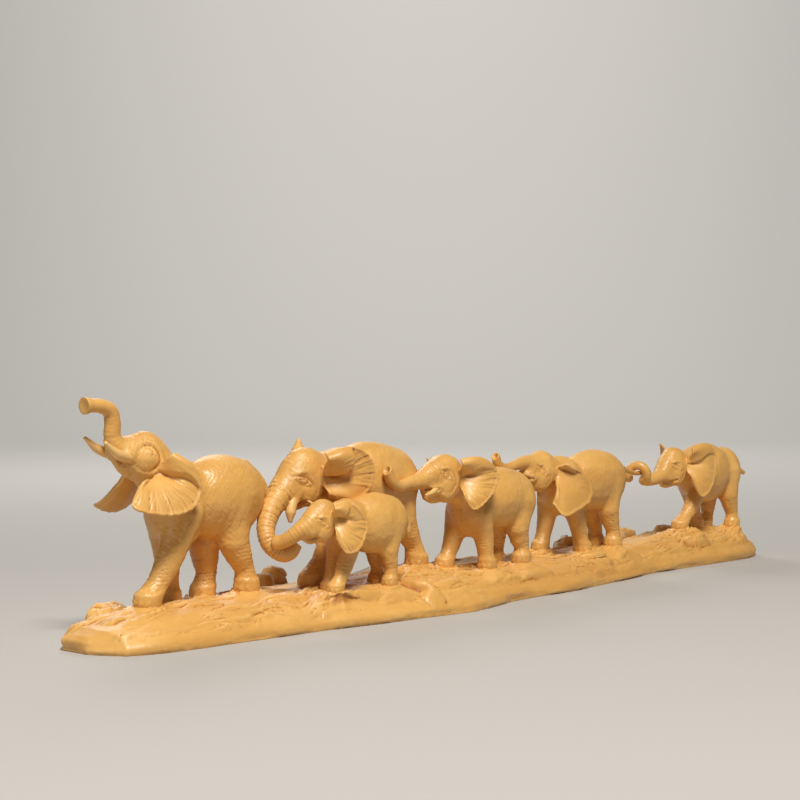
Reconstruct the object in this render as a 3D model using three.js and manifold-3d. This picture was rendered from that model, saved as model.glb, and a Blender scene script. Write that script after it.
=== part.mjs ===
// A boxwood carving of six elephants walking in line on one long piece of ground.
// Each elephant is carved from its own block and stands in a seat in the ground, held by two
// hidden dowels. The tusks are separate spikes glued in sockets.
//
// Frame: millimetres, +Z up, origin under the middle of the ground. The herd walks towards -X.
// An elephant's own points are [forward, left, up] in shares of its height, and a fourth
// number is a radius, so that one set of proportions serves every size of animal.
import * as THREE from 'three';
import { mergeVertices } from 'three/addons/utils/BufferGeometryUtils.js';
import Module from 'manifold-3d';

const wasm = await Module();
wasm.setup();

// ---- Driving dimensions ----
const GROUND_AHEAD = 79;      // ground in front of the leader's middle
const GROUND_BEHIND = 34;     // ground behind the last animal's middle
const GROUND_WIDTH = 96;      // widest part of the ground
const GROUND_EDGE = 5;        // upright rim all round the ground
const GROUND_RISE = 11;       // from the rim up to the path
const LEADER_HEIGHT = 67;
const MOTHER_HEIGHT = 66.5;
const CALF_HEIGHT = 45;
const THIRD_HEIGHT = 57.5;
const FOURTH_HEIGHT = 58;
const LAST_HEIGHT = 55;
const LEADER_Y = 11;          // the walkers' middles wander to either side of the path
const MOTHER_Y = 5;
const FOURTH_Y = -3;
const LAST_Y = 1;
const ROOM_BEFORE_MOTHER = 0; // between a rump and the reach of the animal behind it
const ROOM_BEFORE_THIRD = -14;
const ROOM_BEFORE_FOURTH = 3;
const ROOM_BEFORE_LAST = 64;
const EAR_THICKNESS = 2.2;
const TUSK_DIAMETER = 3.8;
const TUSK_SOCKET_DEPTH = 4;
const DOWEL_DIAMETER = 3;
const DOWEL_LENGTH = 13;
const CLEARANCE = 0.3;        // glue line round a seat, a socket or a dowel
const FOOT_SINK = 1.6;        // how deep a sole sits in its seat
const FOOT_RADIUS = 0.088;    // this and the next two are shares of an animal's height
const ANKLE_RADIUS = 0.070;
const FOOT_HEIGHT = 0.095;
const PAD_RIM = 1;            // earth round a sole
const PAD_SPREAD = 4;
const PAD_FLOOR = 3;
const TAIL_RADIUS = 1.6;
const COIL_POINTS = 6;        // the last trunk's turn round the fourth tail
const COIL_START = -Math.PI / 2 + 0.2;
const COIL_END = Math.PI * 1.25;

const PATH_HEIGHT = GROUND_EDGE + GROUND_RISE;

// ---- Places along the ground ----
const RUMP_REACH = 0.55;      // shares of an animal's height, from its middle
const HEAD_REACH = 1;
const HALF_WIDTH = 0.255;

const spacing = (front, back, room) => RUMP_REACH * front + room + HEAD_REACH * back;
const LEADER_TO_MOTHER = spacing(LEADER_HEIGHT, MOTHER_HEIGHT, ROOM_BEFORE_MOTHER);
const MOTHER_TO_THIRD = spacing(MOTHER_HEIGHT, THIRD_HEIGHT, ROOM_BEFORE_THIRD);
const THIRD_TO_FOURTH = spacing(THIRD_HEIGHT, FOURTH_HEIGHT, ROOM_BEFORE_FOURTH);
const FOURTH_TO_LAST = spacing(FOURTH_HEIGHT, LAST_HEIGHT, ROOM_BEFORE_LAST);
const GROUND_LENGTH = GROUND_AHEAD + LEADER_TO_MOTHER + MOTHER_TO_THIRD + THIRD_TO_FOURTH
  + FOURTH_TO_LAST + GROUND_BEHIND;
const LEADER_X = GROUND_AHEAD - GROUND_LENGTH / 2;
const MOTHER_X = LEADER_X + LEADER_TO_MOTHER;
const CALF_X = MOTHER_X - 0.39 * MOTHER_HEIGHT;
const THIRD_X = MOTHER_X + MOTHER_TO_THIRD;
const FOURTH_X = THIRD_X + THIRD_TO_FOURTH;
const LAST_X = FOURTH_X + FOURTH_TO_LAST;
// The calf and the third walk just clear of the mother's left flank.
const MOTHER_FLANK_Y = MOTHER_Y - HALF_WIDTH * MOTHER_HEIGHT;
const CALF_Y = MOTHER_FLANK_Y - 0.21 * CALF_HEIGHT;
const THIRD_Y = MOTHER_FLANK_Y;

// ---- Facets: how finely round shapes are cut ----
const BALL_AROUND = 8;
const BALL_RINGS = 5;
const LIMB_SIDES = 6;
const EAR_COLUMNS = 6;
const EAR_ROWS = 2;
const FACET_SHRINK = 0.75;   // a faceted ball's flats lie this much nearer than its corners
const SPIKE_SIDES = 6;
const FOOT_SIDES = 6;
const DOWEL_SIDES = 10;
const GROUND_SLICES = 34;
const GROUND_ROUND = 14;
const PAD_SIDES = 6;

// ---- The herd ----
// body: chest and rump in x, back and belly in z, half width; peak: where the back is highest.
// head: [forward, left, up] of the skull's middle, its nose-up pitch in degrees, and its size.
// feet: [forward, left, up] of each sole. trunk: points from the brow to the tip.
// An ear is its hinge, top to bottom, then its rim, top to bottom, as points in the same frame.
const HERD = {
  leader: {
    height: LEADER_HEIGHT, x: LEADER_X, y: LEADER_Y, rise: -1,
    body: { chest: 0.42, rump: -0.51, back: 0.985, belly: 0.40, half: 0.25, peak: -0.18 },
    head: { at: [0.49, 0, 0.955], pitch: 36, size: 0.98 },
    feet: { front_left: [0.56, 0.13, 0.01], front_right: [0.17, -0.12, -0.03],
      hind_left: [-0.33, 0.13, 0.03], hind_right: [-0.14, -0.12, -0.02] },
    trunk: [[0.62, 0, 1.00, 0.095], [0.71, 0, 1.05, 0.076], [0.748, 0, 1.12, 0.060],
      [0.745, 0, 1.22, 0.056], [0.765, 0, 1.30, 0.052], [0.835, 0, 1.335, 0.048],
      [0.925, 0, 1.342, 0.046], [0.975, 0, 1.34, 0.058]],
    ears: [
      { hinge: [[0.44, 0.12, 0.91], [0.52, 0.12, 0.84]], cup: 0.045,
        rim: [[0.37, 0.20, 1.00], [0.27, 0.28, 0.90], [0.25, 0.31, 0.76], [0.32, 0.34, 0.67],
          [0.46, 0.36, 0.625], [0.62, 0.35, 0.625], [0.80, 0.28, 0.68], [0.68, 0.18, 0.80]] },
      { hinge: [[0.44, -0.12, 0.91], [0.52, -0.12, 0.84]], cup: 0.045,
        rim: [[0.36, -0.20, 1.00], [0.29, -0.32, 0.90], [0.30, -0.40, 0.77],
          [0.40, -0.43, 0.68], [0.53, -0.42, 0.63], [0.63, -0.34, 0.66], [0.62, -0.20, 0.76]] }],
    tusks: {
      left: [[0.66, 0.075, 0.955], [0.79, 0.11, 0.985], [0.90, 0.115, 1.08]],
      right: [[0.66, -0.075, 0.955], [0.79, -0.11, 0.985], [0.90, -0.115, 1.11]] },
    tail: [[-0.44, 0, 0.82], [-0.53, 0.01, 0.73], [-0.57, 0.02, 0.58], [-0.565, 0.03, 0.45]],
  },
  mother: {
    height: MOTHER_HEIGHT, x: MOTHER_X, y: MOTHER_Y, rise: 1.8,
    body: { chest: 0.47, rump: -0.57, back: 1.0, belly: 0.38, half: 0.255, peak: -0.06 },
    head: { at: [0.575, 0, 0.755], pitch: 6, size: 1.08 },
    feet: { front_left: [0.66, 0.12, -0.02], front_right: [0.24, -0.13, -0.02],
      hind_left: [-0.49, 0.13, 0.03], hind_right: [-0.40, -0.13, 0.01] },
    trunk: [[0.70, 0, 0.78, 0.13], [0.80, 0, 0.69, 0.112], [0.92, 0.02, 0.60, 0.090],
      [1.03, 0.06, 0.50, 0.076], [1.10, 0.11, 0.39, 0.066], [1.105, 0.16, 0.29, 0.058],
      [1.03, 0.21, 0.225, 0.054], [0.94, 0.235, 0.25, 0.050], [0.915, 0.24, 0.32, 0.048]],
    ears: [
      { hinge: [[0.55, 0.14, 0.83], [0.56, 0.14, 0.70]], cup: 0.05,
        rim: [[0.62, 0.21, 0.94], [0.47, 0.28, 0.985], [0.32, 0.32, 0.95], [0.22, 0.33, 0.84],
          [0.22, 0.32, 0.71], [0.29, 0.30, 0.62], [0.42, 0.27, 0.585], [0.56, 0.20, 0.61]] },
      { hinge: [[0.53, -0.14, 0.84], [0.54, -0.14, 0.70]], cup: 0.05,
        rim: [[0.55, -0.24, 1.03], [0.46, -0.34, 0.98], [0.37, -0.39, 0.86],
          [0.36, -0.39, 0.74], [0.42, -0.35, 0.63], [0.53, -0.22, 0.60]] }],
    tusks: {
      left: [[0.74, 0.085, 0.62], [0.80, 0.10, 0.55], [0.855, 0.105, 0.455]],
      right: [[0.74, -0.085, 0.62], [0.80, -0.10, 0.55], [0.855, -0.105, 0.455]] },
    tail: [[-0.49, 0, 0.82], [-0.575, 0, 0.73], [-0.605, -0.02, 0.58], [-0.59, -0.03, 0.42]],
  },
  calf: {
    height: CALF_HEIGHT, x: CALF_X, y: CALF_Y, rise: -0.3,
    body: { chest: 0.48, rump: -0.60, back: 1.0, belly: 0.34, half: 0.26, peak: -0.16 },
    head: { at: [0.64, 0, 0.745], pitch: 16, size: 1.12 },
    feet: { front_left: [0.56, 0.12, 0.0], front_right: [0.42, -0.13, -0.01],
      hind_left: [-0.27, 0.13, 0.0], hind_right: [-0.33, -0.13, 0.0] },
    trunk: [[0.74, 0, 0.77, 0.13], [0.86, -0.01, 0.70, 0.105], [0.95, -0.06, 0.635, 0.085],
      [1.005, -0.13, 0.585, 0.072], [1.035, -0.20, 0.555, 0.066], [1.06, -0.25, 0.55, 0.066]],
    ears: [
      { hinge: [[0.63, 0.14, 0.84], [0.61, 0.14, 0.72]], cup: 0.05,
        rim: [[0.68, 0.20, 0.945], [0.53, 0.26, 0.96], [0.39, 0.30, 0.86], [0.29, 0.32, 0.70],
          [0.35, 0.33, 0.55], [0.47, 0.34, 0.44], [0.59, 0.30, 0.43], [0.66, 0.21, 0.58]] },
      { hinge: [[0.62, -0.14, 0.84], [0.61, -0.14, 0.72]], cup: 0.05,
        rim: [[0.62, -0.22, 0.95], [0.47, -0.32, 0.91], [0.38, -0.36, 0.76],
          [0.40, -0.36, 0.60], [0.50, -0.32, 0.51], [0.60, -0.21, 0.58]] }],
    tusks: {},
    tail: [[-0.54, 0, 0.78], [-0.62, 0.02, 0.68], [-0.635, 0.04, 0.56], [-0.62, 0.05, 0.47]],
  },
  third: {
    height: THIRD_HEIGHT, x: THIRD_X, y: THIRD_Y, rise: 0.6,
    body: { chest: 0.46, rump: -0.62, back: 0.90, belly: 0.33, half: 0.25, peak: -0.12 },
    head: { at: [0.575, 0, 0.82], pitch: 20, size: 1.10 },
    feet: { front_left: [0.16, 0.13, -0.01], front_right: [0.47, -0.12, 0.01],
      hind_left: [-0.35, 0.13, 0.0], hind_right: [-0.24, -0.12, 0.0] },
    trunk: [[0.68, 0, 0.90, 0.13], [0.81, 0, 0.865, 0.105], [0.93, 0, 0.825, 0.083]],
    resting_on: 'mother',
    rest: [[-0.235, 0.262, 0.675, 0.054], [-0.11, 0.288, 0.665, 0.049],
      [-0.015, 0.302, 0.705, 0.047], [0.035, 0.305, 0.79, 0.046]],
    ears: [
      { hinge: [[0.56, 0.14, 0.89], [0.57, 0.14, 0.76]], cup: 0.05,
        rim: [[0.63, 0.19, 1.01], [0.48, 0.26, 1.03], [0.34, 0.30, 0.98], [0.24, 0.32, 0.86],
          [0.30, 0.33, 0.73], [0.43, 0.34, 0.63], [0.57, 0.31, 0.56], [0.62, 0.22, 0.66]] },
      { hinge: [[0.55, -0.14, 0.89], [0.56, -0.14, 0.76]], cup: 0.05,
        rim: [[0.57, -0.24, 1.0], [0.43, -0.34, 0.98], [0.34, -0.38, 0.86],
          [0.36, -0.37, 0.71], [0.46, -0.33, 0.60], [0.56, -0.22, 0.65]] }],
    tusks: {
      left: [[0.76, 0.075, 0.775], [0.86, 0.095, 0.725], [0.99, 0.10, 0.70]] },
    tail: [[-0.55, 0, 0.73], [-0.635, -0.01, 0.64], [-0.665, -0.03, 0.52], [-0.65, -0.04, 0.40]],
  },
  fourth: {
    height: FOURTH_HEIGHT, x: FOURTH_X, y: FOURTH_Y, rise: 0.8,
    body: { chest: 0.48, rump: -0.68, back: 0.985, belly: 0.38, half: 0.245, peak: -0.26 },
    head: { at: [0.55, 0, 0.80], pitch: 30, size: 1.02 },
    feet: { front_left: [0.07, 0.13, 0.0], front_right: [0.43, -0.12, 0.02],
      hind_left: [-0.45, 0.13, 0.01], hind_right: [-0.50, -0.13, 0.0] },
    trunk: [[0.64, 0, 0.87, 0.10], [0.75, 0, 0.885, 0.082], [0.86, 0, 0.895, 0.066]],
    resting_on: 'third',
    rest: [[-0.60, -0.13, 0.895, 0.052], [-0.43, -0.12, 0.87, 0.047],
      [-0.31, -0.12, 0.91, 0.044], [-0.275, -0.12, 0.985, 0.042]],
    ears: [
      { hinge: [[0.50, 0.13, 0.86], [0.53, 0.13, 0.74]], cup: 0.05,
        rim: [[0.42, 0.19, 0.88], [0.30, 0.23, 0.80], [0.17, 0.26, 0.71], [0.13, 0.28, 0.61],
          [0.21, 0.30, 0.53], [0.38, 0.31, 0.48], [0.60, 0.29, 0.455], [0.70, 0.20, 0.53]] },
      { hinge: [[0.49, -0.13, 0.86], [0.52, -0.13, 0.74]], cup: 0.05,
        rim: [[0.44, -0.22, 0.93], [0.32, -0.31, 0.86], [0.24, -0.35, 0.72],
          [0.28, -0.35, 0.58], [0.42, -0.32, 0.50], [0.58, -0.22, 0.55]] }],
    tusks: {},
    tail: [[-0.60, 0, 0.83], [-0.74, -0.01, 0.79], [-0.90, -0.03, 0.75],
      [-1.05, -0.06, 0.715], [-1.20, -0.09, 0.70], [-1.33, -0.10, 0.70]],
  },
  last: {
    height: LAST_HEIGHT, x: LAST_X, y: LAST_Y, rise: 3.4,
    body: { chest: 0.52, rump: -0.56, back: 0.985, belly: 0.30, half: 0.25, peak: 0.14 },
    head: { at: [0.79, 0, 0.735], pitch: 8, size: 1.08 },
    feet: { front_left: [0.74, 0.06, 0.03], front_right: [0.12, -0.11, 0.0],
      hind_left: [-0.30, 0.12, -0.01], hind_right: [-0.08, -0.12, -0.02] },
    trunk: [[0.88, 0, 0.76, 0.12], [0.98, 0, 0.69, 0.10], [1.09, 0, 0.63, 0.078]],
    coiled_on: 'fourth',
    ears: [
      { hinge: [[0.72, 0.14, 0.82], [0.74, 0.14, 0.69]], cup: 0.05,
        rim: [[0.73, 0.20, 0.96], [0.56, 0.25, 1.00], [0.42, 0.29, 0.94], [0.38, 0.31, 0.76],
          [0.43, 0.32, 0.60], [0.52, 0.32, 0.47], [0.64, 0.29, 0.40], [0.74, 0.21, 0.56]] },
      { hinge: [[0.70, -0.14, 0.82], [0.72, -0.14, 0.69]], cup: 0.05,
        rim: [[0.70, -0.22, 0.99], [0.54, -0.32, 0.97], [0.46, -0.36, 0.80],
          [0.48, -0.36, 0.62], [0.58, -0.32, 0.52], [0.70, -0.21, 0.58]] }],
    tusks: {},
    tail: [[-0.48, 0, 0.66], [-0.54, 0, 0.62], [-0.59, 0.01, 0.59]],
  },
};

// ---- Solids ----

// A closed three.js geometry as a solid, turned the right way out.
function toSolid(geometry) {
  const merged = geometry.attributes.normal ? mergedCopy(geometry) : geometry;
  const points = merged.attributes.position;
  const corners = Array.from(merged.index.array);
  if (signedVolume(points, corners) < 0) corners.reverse();
  return new wasm.Manifold(new wasm.Mesh({
    numProp: 3,
    vertProperties: new Float32Array(points.array),
    triVerts: new Uint32Array(corners),
  }));
}

function mergedCopy(geometry) {
  const bare = geometry.clone();
  bare.deleteAttribute('normal');
  bare.deleteAttribute('uv');
  return mergeVertices(bare);
}

function signedVolume(points, corners) {
  const [a, b, c] = [new THREE.Vector3(), new THREE.Vector3(), new THREE.Vector3()];
  let total = 0;
  for (let i = 0; i < corners.length; i += 3) {
    a.fromBufferAttribute(points, corners[i]);
    b.fromBufferAttribute(points, corners[i + 1]);
    c.fromBufferAttribute(points, corners[i + 2]);
    total += a.dot(b.cross(c)) / 6;
  }
  return total;
}

// Moves every point of a geometry by a rule.
function reshape(geometry, rule) {
  const merged = mergedCopy(geometry);
  const points = merged.attributes.position;
  const point = new THREE.Vector3();
  for (let i = 0; i < points.count; i += 1) {
    point.fromBufferAttribute(points, i);
    const moved = rule(point);
    points.setXYZ(i, moved.x, moved.y, moved.z);
  }
  return merged;
}

function joined(solids) {
  const whole = solids.reduce((sum, next) => sum.add(next));
  // A pocket closed in by crossing limbs is filled: only the outer skins are kept.
  const skins = whole.decompose().filter((piece) => piece.volume() > 0);
  return skins.reduce((big, next) => (next.volume() > big.volume() ? next : big));
}

function toMesh(name, solid, color) {
  const skin = solid.getMesh();
  const geometry = new THREE.BufferGeometry();
  geometry.setAttribute('position', new THREE.BufferAttribute(skin.vertProperties, 3));
  geometry.setIndex(new THREE.BufferAttribute(skin.triVerts, 1));
  geometry.computeVertexNormals();
  const material = new THREE.MeshStandardMaterial({ color, roughness: 0.42, metalness: 0 });
  const mesh = new THREE.Mesh(geometry, material);
  mesh.name = name;
  return mesh;
}

// ---- Sculptor's forms ----

const vec = (p) => new THREE.Vector3(p[0], p[1], p[2]);

// From an animal's own frame to the carving's frame.
function frameOf(animal) {
  const turn = new THREE.Matrix4().makeRotationZ(Math.PI);
  const size = new THREE.Matrix4().makeScale(animal.height, animal.height, animal.height);
  const place = new THREE.Matrix4().makeTranslation(animal.x, animal.y, PATH_HEIGHT + animal.rise);
  return place.multiply(turn).multiply(size);
}

// From a head's own frame, where the skull is the middle, to its animal's frame.
function headFrame(head) {
  const pitch = new THREE.Matrix4().makeRotationY(-THREE.MathUtils.degToRad(head.pitch));
  const size = new THREE.Matrix4().makeScale(head.size, head.size, head.size);
  return new THREE.Matrix4().makeTranslation(...head.at).multiply(pitch).multiply(size);
}

function ball(frame, centre, radii, grow) {
  const scale = frame.getMaxScaleOnAxis();
  const geometry = new THREE.SphereGeometry(1, BALL_AROUND, BALL_RINGS);
  return toSolid(reshape(geometry, (p) => {
    const local = new THREE.Vector3(p.x * radii[0], p.z * radii[1], p.y * radii[2]);
    const extra = new THREE.Vector3(p.x, p.z, p.y).multiplyScalar(grow / FACET_SHRINK / scale);
    return local.add(extra).add(vec(centre)).applyMatrix4(frame);
  }));
}

// A limb: a round bar through points in the carving's frame, each with its own radius.
function limb(points, radii, grow, sides = LIMB_SIDES) {
  const route = new THREE.CatmullRomCurve3(points, false, 'centripetal');
  const steps = points.length - 1;
  const frames = route.computeFrenetFrames(steps);
  const bar = new THREE.CylinderGeometry(1, 1, 1, sides, steps);
  return toSolid(reshape(bar, (p) => {
    const share = p.y + 0.5;
    const step = Math.round(share * steps);
    const span = (share * (points.length - 1));
    const from = Math.min(Math.floor(span), points.length - 2);
    const radius = THREE.MathUtils.lerp(radii[from], radii[from + 1], span - from)
      + grow / Math.cos(Math.PI / sides);
    return route.getPoint(share)
      .addScaledVector(frames.normals[step], p.x * radius)
      .addScaledVector(frames.binormals[step], p.z * radius)
      .addScaledVector(frames.tangents[step], endShift(step, steps, grow));
  }));
}

function endShift(step, steps, grow) {
  if (step === 0) return -grow;
  return step === steps ? grow : 0;
}

function limbIn(frame, points, grow, sides) {
  const scale = frame.getMaxScaleOnAxis();
  const places = points.map((p) => vec(p).applyMatrix4(frame));
  return limb(places, points.map((p) => p[3] * scale), grow, sides);
}

// An ear: a thin box whose one long side is the hinge and whose other is the rim.
function earFlap(frame, ear, grow) {
  const rim = new THREE.CatmullRomCurve3(ear.rim.map((p) => vec(p).applyMatrix4(frame)));
  const hinge = ear.hinge.map((p) => vec(p).applyMatrix4(frame));
  const cup = ear.cup * frame.getMaxScaleOnAxis();
  const across = hinge[1].clone().sub(hinge[0]);
  const outward = rim.getPoint(0.5).sub(hinge[0]);
  const face = across.cross(outward).normalize();
  const slab = new THREE.BoxGeometry(1, 1, 1, EAR_COLUMNS, EAR_ROWS, 1);
  return toSolid(reshape(slab, (p) => {
    const along = p.x + 0.5;
    const out = p.y + 0.5;
    const root = hinge[0].clone().lerp(hinge[1], along);
    const place = root.lerp(rim.getPoint(along), out);
    const thick = EAR_THICKNESS * (1 - 0.35 * out) + 2 * grow;
    return place.addScaledVector(face, p.z * thick + cup * Math.sin(Math.PI * out));
  }));
}

// ---- The parts of an elephant ----

function torso(frame, body, grow) {
  const length = body.chest - body.rump;
  const depth = body.back - body.belly;
  const middle = (body.back + body.belly) / 2;
  return [
    ball(frame, [body.peak, 0, middle], [0.42 * length, body.half, depth / 2], grow),
    ball(frame, [body.rump + 0.25, 0, body.back - 0.33], [0.24, 0.215, 0.27], grow),
    ball(frame, [body.chest - 0.22, 0, body.back - 0.36], [0.22, 0.20, 0.27], grow),
  ];
}

function neck(frame, body, head, grow) {
  const start = [body.chest - 0.20, 0, body.back - 0.24, 0.20];
  const end = [head.at[0] - 0.04, 0, head.at[2], 0.15];
  const middle = [(start[0] + end[0]) / 2, 0, (start[2] + end[2]) / 2, 0.17];
  return limbIn(frame, [start, middle, end], grow);
}

function skull(frame, grow) {
  const parts = [
    ball(frame, [0, 0, 0.04], [0.155, 0.14, 0.165], grow),
    limbIn(frame, [[0.05, 0, 0.08, 0.11], [0.12, 0, 0.0, 0.10], [0.17, 0, -0.12, 0.085]], grow),
    limbIn(frame, [[0, 0, -0.10, 0.085], [0.10, 0, -0.19, 0.055], [0.18, 0, -0.215, 0.026]], grow),
  ];
  for (const side of [-1, 1]) {
    parts.push(ball(frame, [0.02, side * 0.075, -0.08], [0.11, 0.065, 0.12], grow));
    parts.push(limbIn(frame, [[0.10, side * 0.055, -0.08, 0.05],
      [0.15, side * 0.066, -0.14, 0.044], [0.18, side * 0.075, -0.19, 0.034]], grow));
  }
  return parts;
}

function leg(frame, body, key, foot, grow) {
  const side = Math.sign(foot[1]);
  const fore = key.startsWith('front');
  const hip = fore
    ? [body.chest - 0.19, side * 0.12, body.back - 0.40, 0.125]
    : [body.rump + 0.26, side * 0.10, body.back - 0.34, 0.14];
  const bend = fore ? -0.02 : 0.05;
  const at = (share, shift, radius) => [
    THREE.MathUtils.lerp(hip[0], foot[0], share) + shift,
    THREE.MathUtils.lerp(hip[1], foot[1], share),
    THREE.MathUtils.lerp(hip[2], foot[2], share), radius];
  return limbIn(frame, [hip, at(0.42, bend, fore ? 0.095 : 0.115), at(0.74, -0.01, 0.072),
    [foot[0], foot[1], foot[2] + 0.05, 0.068]], grow);
}

// A foot is an upright drum, wider at the sole.
function drum(animal, foot, grow) {
  const ankle = vec(foot).applyMatrix4(frameOf(animal));
  const top = FOOT_HEIGHT * animal.height + grow;
  return upright(ankle, -FOOT_SINK - grow, top, ANKLE_RADIUS * animal.height + grow,
    FOOT_RADIUS * animal.height + grow, FOOT_SIDES);
}

// An upright tapered post round a point, between two heights above it.
function upright(place, low, high, topRadius, lowRadius, sides) {
  const post = new THREE.CylinderGeometry(topRadius, lowRadius, high - low, sides, 1);
  post.rotateX(Math.PI / 2);
  post.translate(place.x, place.y, place.z + (low + high) / 2);
  return toSolid(post);
}

function trunkPoints(animal) {
  const frame = frameOf(animal);
  const toPlace = (home) => (p) => ({
    at: vec(p).applyMatrix4(frameOf(home)),
    radius: p[3] * home.height,
  });
  const own = animal.trunk.map(toPlace(animal));
  if (animal.resting_on) return own.concat(animal.rest.map(toPlace(HERD[animal.resting_on])));
  if (animal.coiled_on) return own.concat(coil(HERD[animal.coiled_on], frame, animal));
  return own;
}

// The last trunk winds once round the tail in front, then its tip stands up.
function coil(host, frame, animal) {
  const tail = host.tail.map((p) => vec(p).applyMatrix4(frameOf(host)));
  const centre = tail[tail.length - 1].clone().lerp(tail[tail.length - 2], 0.55);
  const radius = TAIL_RADIUS + 0.052 * animal.height + CLEARANCE;
  const turn = [];
  for (let i = 0; i <= COIL_POINTS; i += 1) {
    const share = i / COIL_POINTS;
    const angle = THREE.MathUtils.lerp(COIL_START, COIL_END, share);
    turn.push({
      at: centre.clone().add(new THREE.Vector3(
        THREE.MathUtils.lerp(0.05, -0.12, share) * animal.height,
        -Math.cos(angle) * radius, Math.sin(angle) * radius)),
      radius: THREE.MathUtils.lerp(0.056, 0.044, share) * animal.height,
    });
  }
  const tip = turn[turn.length - 1];
  turn.push({ at: tip.at.clone().add(new THREE.Vector3(-3, 0.5, 4.5)), radius: tip.radius });
  return turn;
}

function trunk(animal, grow) {
  const route = trunkPoints(animal);
  return limb(route.map((p) => p.at), route.map((p) => p.radius), grow);
}

function tail(frame, points, grow) {
  const thick = [1.9, 1.3, 1.0, 0.9, 0.9, 0.85];
  const radii = points.map((_, i) => TAIL_RADIUS * thick[Math.min(i, thick.length - 1)]);
  return limb(points.map((p) => vec(p).applyMatrix4(frame)), radii, grow, 6);
}

function carvedAnimal(animal, grow = 0) {
  const frame = frameOf(animal);
  const face = frame.clone().multiply(headFrame(animal.head));
  return joined([
    ...torso(frame, animal.body, grow),
    neck(frame, animal.body, animal.head, grow),
    ...skull(face, grow),
    ...Object.entries(animal.feet).map(([key, foot]) => leg(frame, animal.body, key, foot, grow)),
    ...Object.values(animal.feet).map((foot) => drum(animal, foot, grow)),
    ...animal.ears.map((ear) => earFlap(frame, ear, grow)),
    trunk(animal, grow),
    tail(frame, animal.tail, grow),
  ]);
}

function tuskSpike(animal, points, grow) {
  const places = points.map((p) => vec(p).applyMatrix4(frameOf(animal)));
  const inward = places[0].clone().sub(places[1]).normalize();
  places.unshift(places[0].clone().addScaledVector(inward, TUSK_SOCKET_DEPTH));
  const radii = [1, 1, 0.8, 0.22].map((share) => share * TUSK_DIAMETER / 2);
  return limb(places, radii, grow, SPIKE_SIDES);
}

// A dowel stands half in a foot and half in the ground.
function dowel(animal, foot, grow) {
  const sole = vec(foot).applyMatrix4(frameOf(animal));
  const reach = DOWEL_LENGTH / 2 + grow;
  const radius = DOWEL_DIAMETER / 2 + grow;
  return upright(sole, -reach - FOOT_SINK, reach - FOOT_SINK, radius, radius, DOWEL_SIDES);
}

// ---- The ground ----

// Half widths in front of and behind the line, and the height of the path, along the ground.
// Each row is [share of the length, front share, back share, height share].
const OUTLINE = [
  [0.00, 0.16, 0.20, 0.12], [0.02, 0.56, 0.46, 0.52], [0.07, 0.66, 0.72, 0.84],
  [0.20, 0.73, 0.86, 0.90], [0.30, 0.88, 0.94, 1.02], [0.39, 1.00, 1.00, 1.08],
  [0.48, 0.78, 0.96, 1.04], [0.56, 0.79, 0.86, 1.00], [0.66, 0.66, 0.80, 1.02],
  [0.75, 0.50, 0.84, 1.04], [0.85, 0.50, 0.88, 1.10], [0.93, 0.52, 0.78, 1.08],
  [0.97, 0.46, 0.62, 0.72], [0.99, 0.36, 0.44, 0.40], [1.00, 0.20, 0.26, 0.12]];

function along(share, column) {
  let row = 1;
  while (row < OUTLINE.length - 1 && OUTLINE[row][0] < share) row += 1;
  const [from, to] = [OUTLINE[row - 1], OUTLINE[row]];
  const mix = THREE.MathUtils.clamp((share - from[0]) / (to[0] - from[0]), 0, 1);
  const eased = mix * mix * (3 - 2 * mix);
  return THREE.MathUtils.lerp(from[column], to[column], (mix + eased) / 2);
}

function groundBlock() {
  const bar = new THREE.CylinderGeometry(1, 1, 1, GROUND_ROUND, GROUND_SLICES);
  return toSolid(reshape(bar, (p) => {
    const share = endsEased(p.y + 0.5);
    const inside = Math.hypot(p.x, p.z) < 0.5;
    const flat = inside ? 0 : THREE.MathUtils.clamp(p.x * 1.06, -1, 1);
    const column = flat < 0 ? 1 : 2;
    const y = flat * along(share, column) * GROUND_WIDTH / 2;
    const x = (share - 0.5) * GROUND_LENGTH;
    return new THREE.Vector3(x, y, groundTop(share, flat, inside ? 0 : p.z));
  }));
}

// Slices crowd together where the ground rounds off at its two ends.
function endsEased(share) {
  return (1 - Math.cos(Math.PI * share)) / 4 + share / 2;
}

function groundTop(share, flat, around) {
  if (around < -0.01) return 0;
  if (around < 0.32) return GROUND_EDGE * THREE.MathUtils.smoothstep(around, -0.01, 0.32);
  const crown = GROUND_RISE * along(share, 3);
  return GROUND_EDGE + crown * (1 - Math.abs(flat) ** 2.4) ** 0.8;
}

// Stones and ledges along the path, by the animal they lie next to:
// [animal, ahead of its middle, left of its middle, rise, half length, half width, half height].
const STONES = [
  ['mother', 30, -33, 0, 10, 7, 5], ['mother', 44, -26, -1, 9, 7, 4],
  ['mother', -5, 30, -3, 7, 14, 5], ['calf', 10, 4, -4, 24, 9, 4],
  ['fourth', -20, -22, 0, 7, 6, 5], ['fourth', 4, 14, -2, 14, 7, 3],
  ['last', 48, -32, 0, 9, 6, 3], ['last', 18, -24, 0, 9, 6, 3]];

function stones() {
  return STONES.map(([name, ahead, left, rise, length, width, height]) => {
    const stone = new THREE.IcosahedronGeometry(1, 1);
    stone.scale(length, width, height);
    stone.translate(HERD[name].x - ahead, HERD[name].y - left, PATH_HEIGHT + rise);
    return toSolid(stone);
  });
}

// Earth swells up round every sole, so each foot has wood under it.
function pad(animal, foot) {
  const sole = vec(foot).applyMatrix4(frameOf(animal));
  const top = FOOT_RADIUS * animal.height + PAD_RIM;
  return upright(sole, PAD_FLOOR - sole.z, 0, top, top + PAD_SPREAD, PAD_SIDES);
}

// ---- Assembly ----

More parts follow.
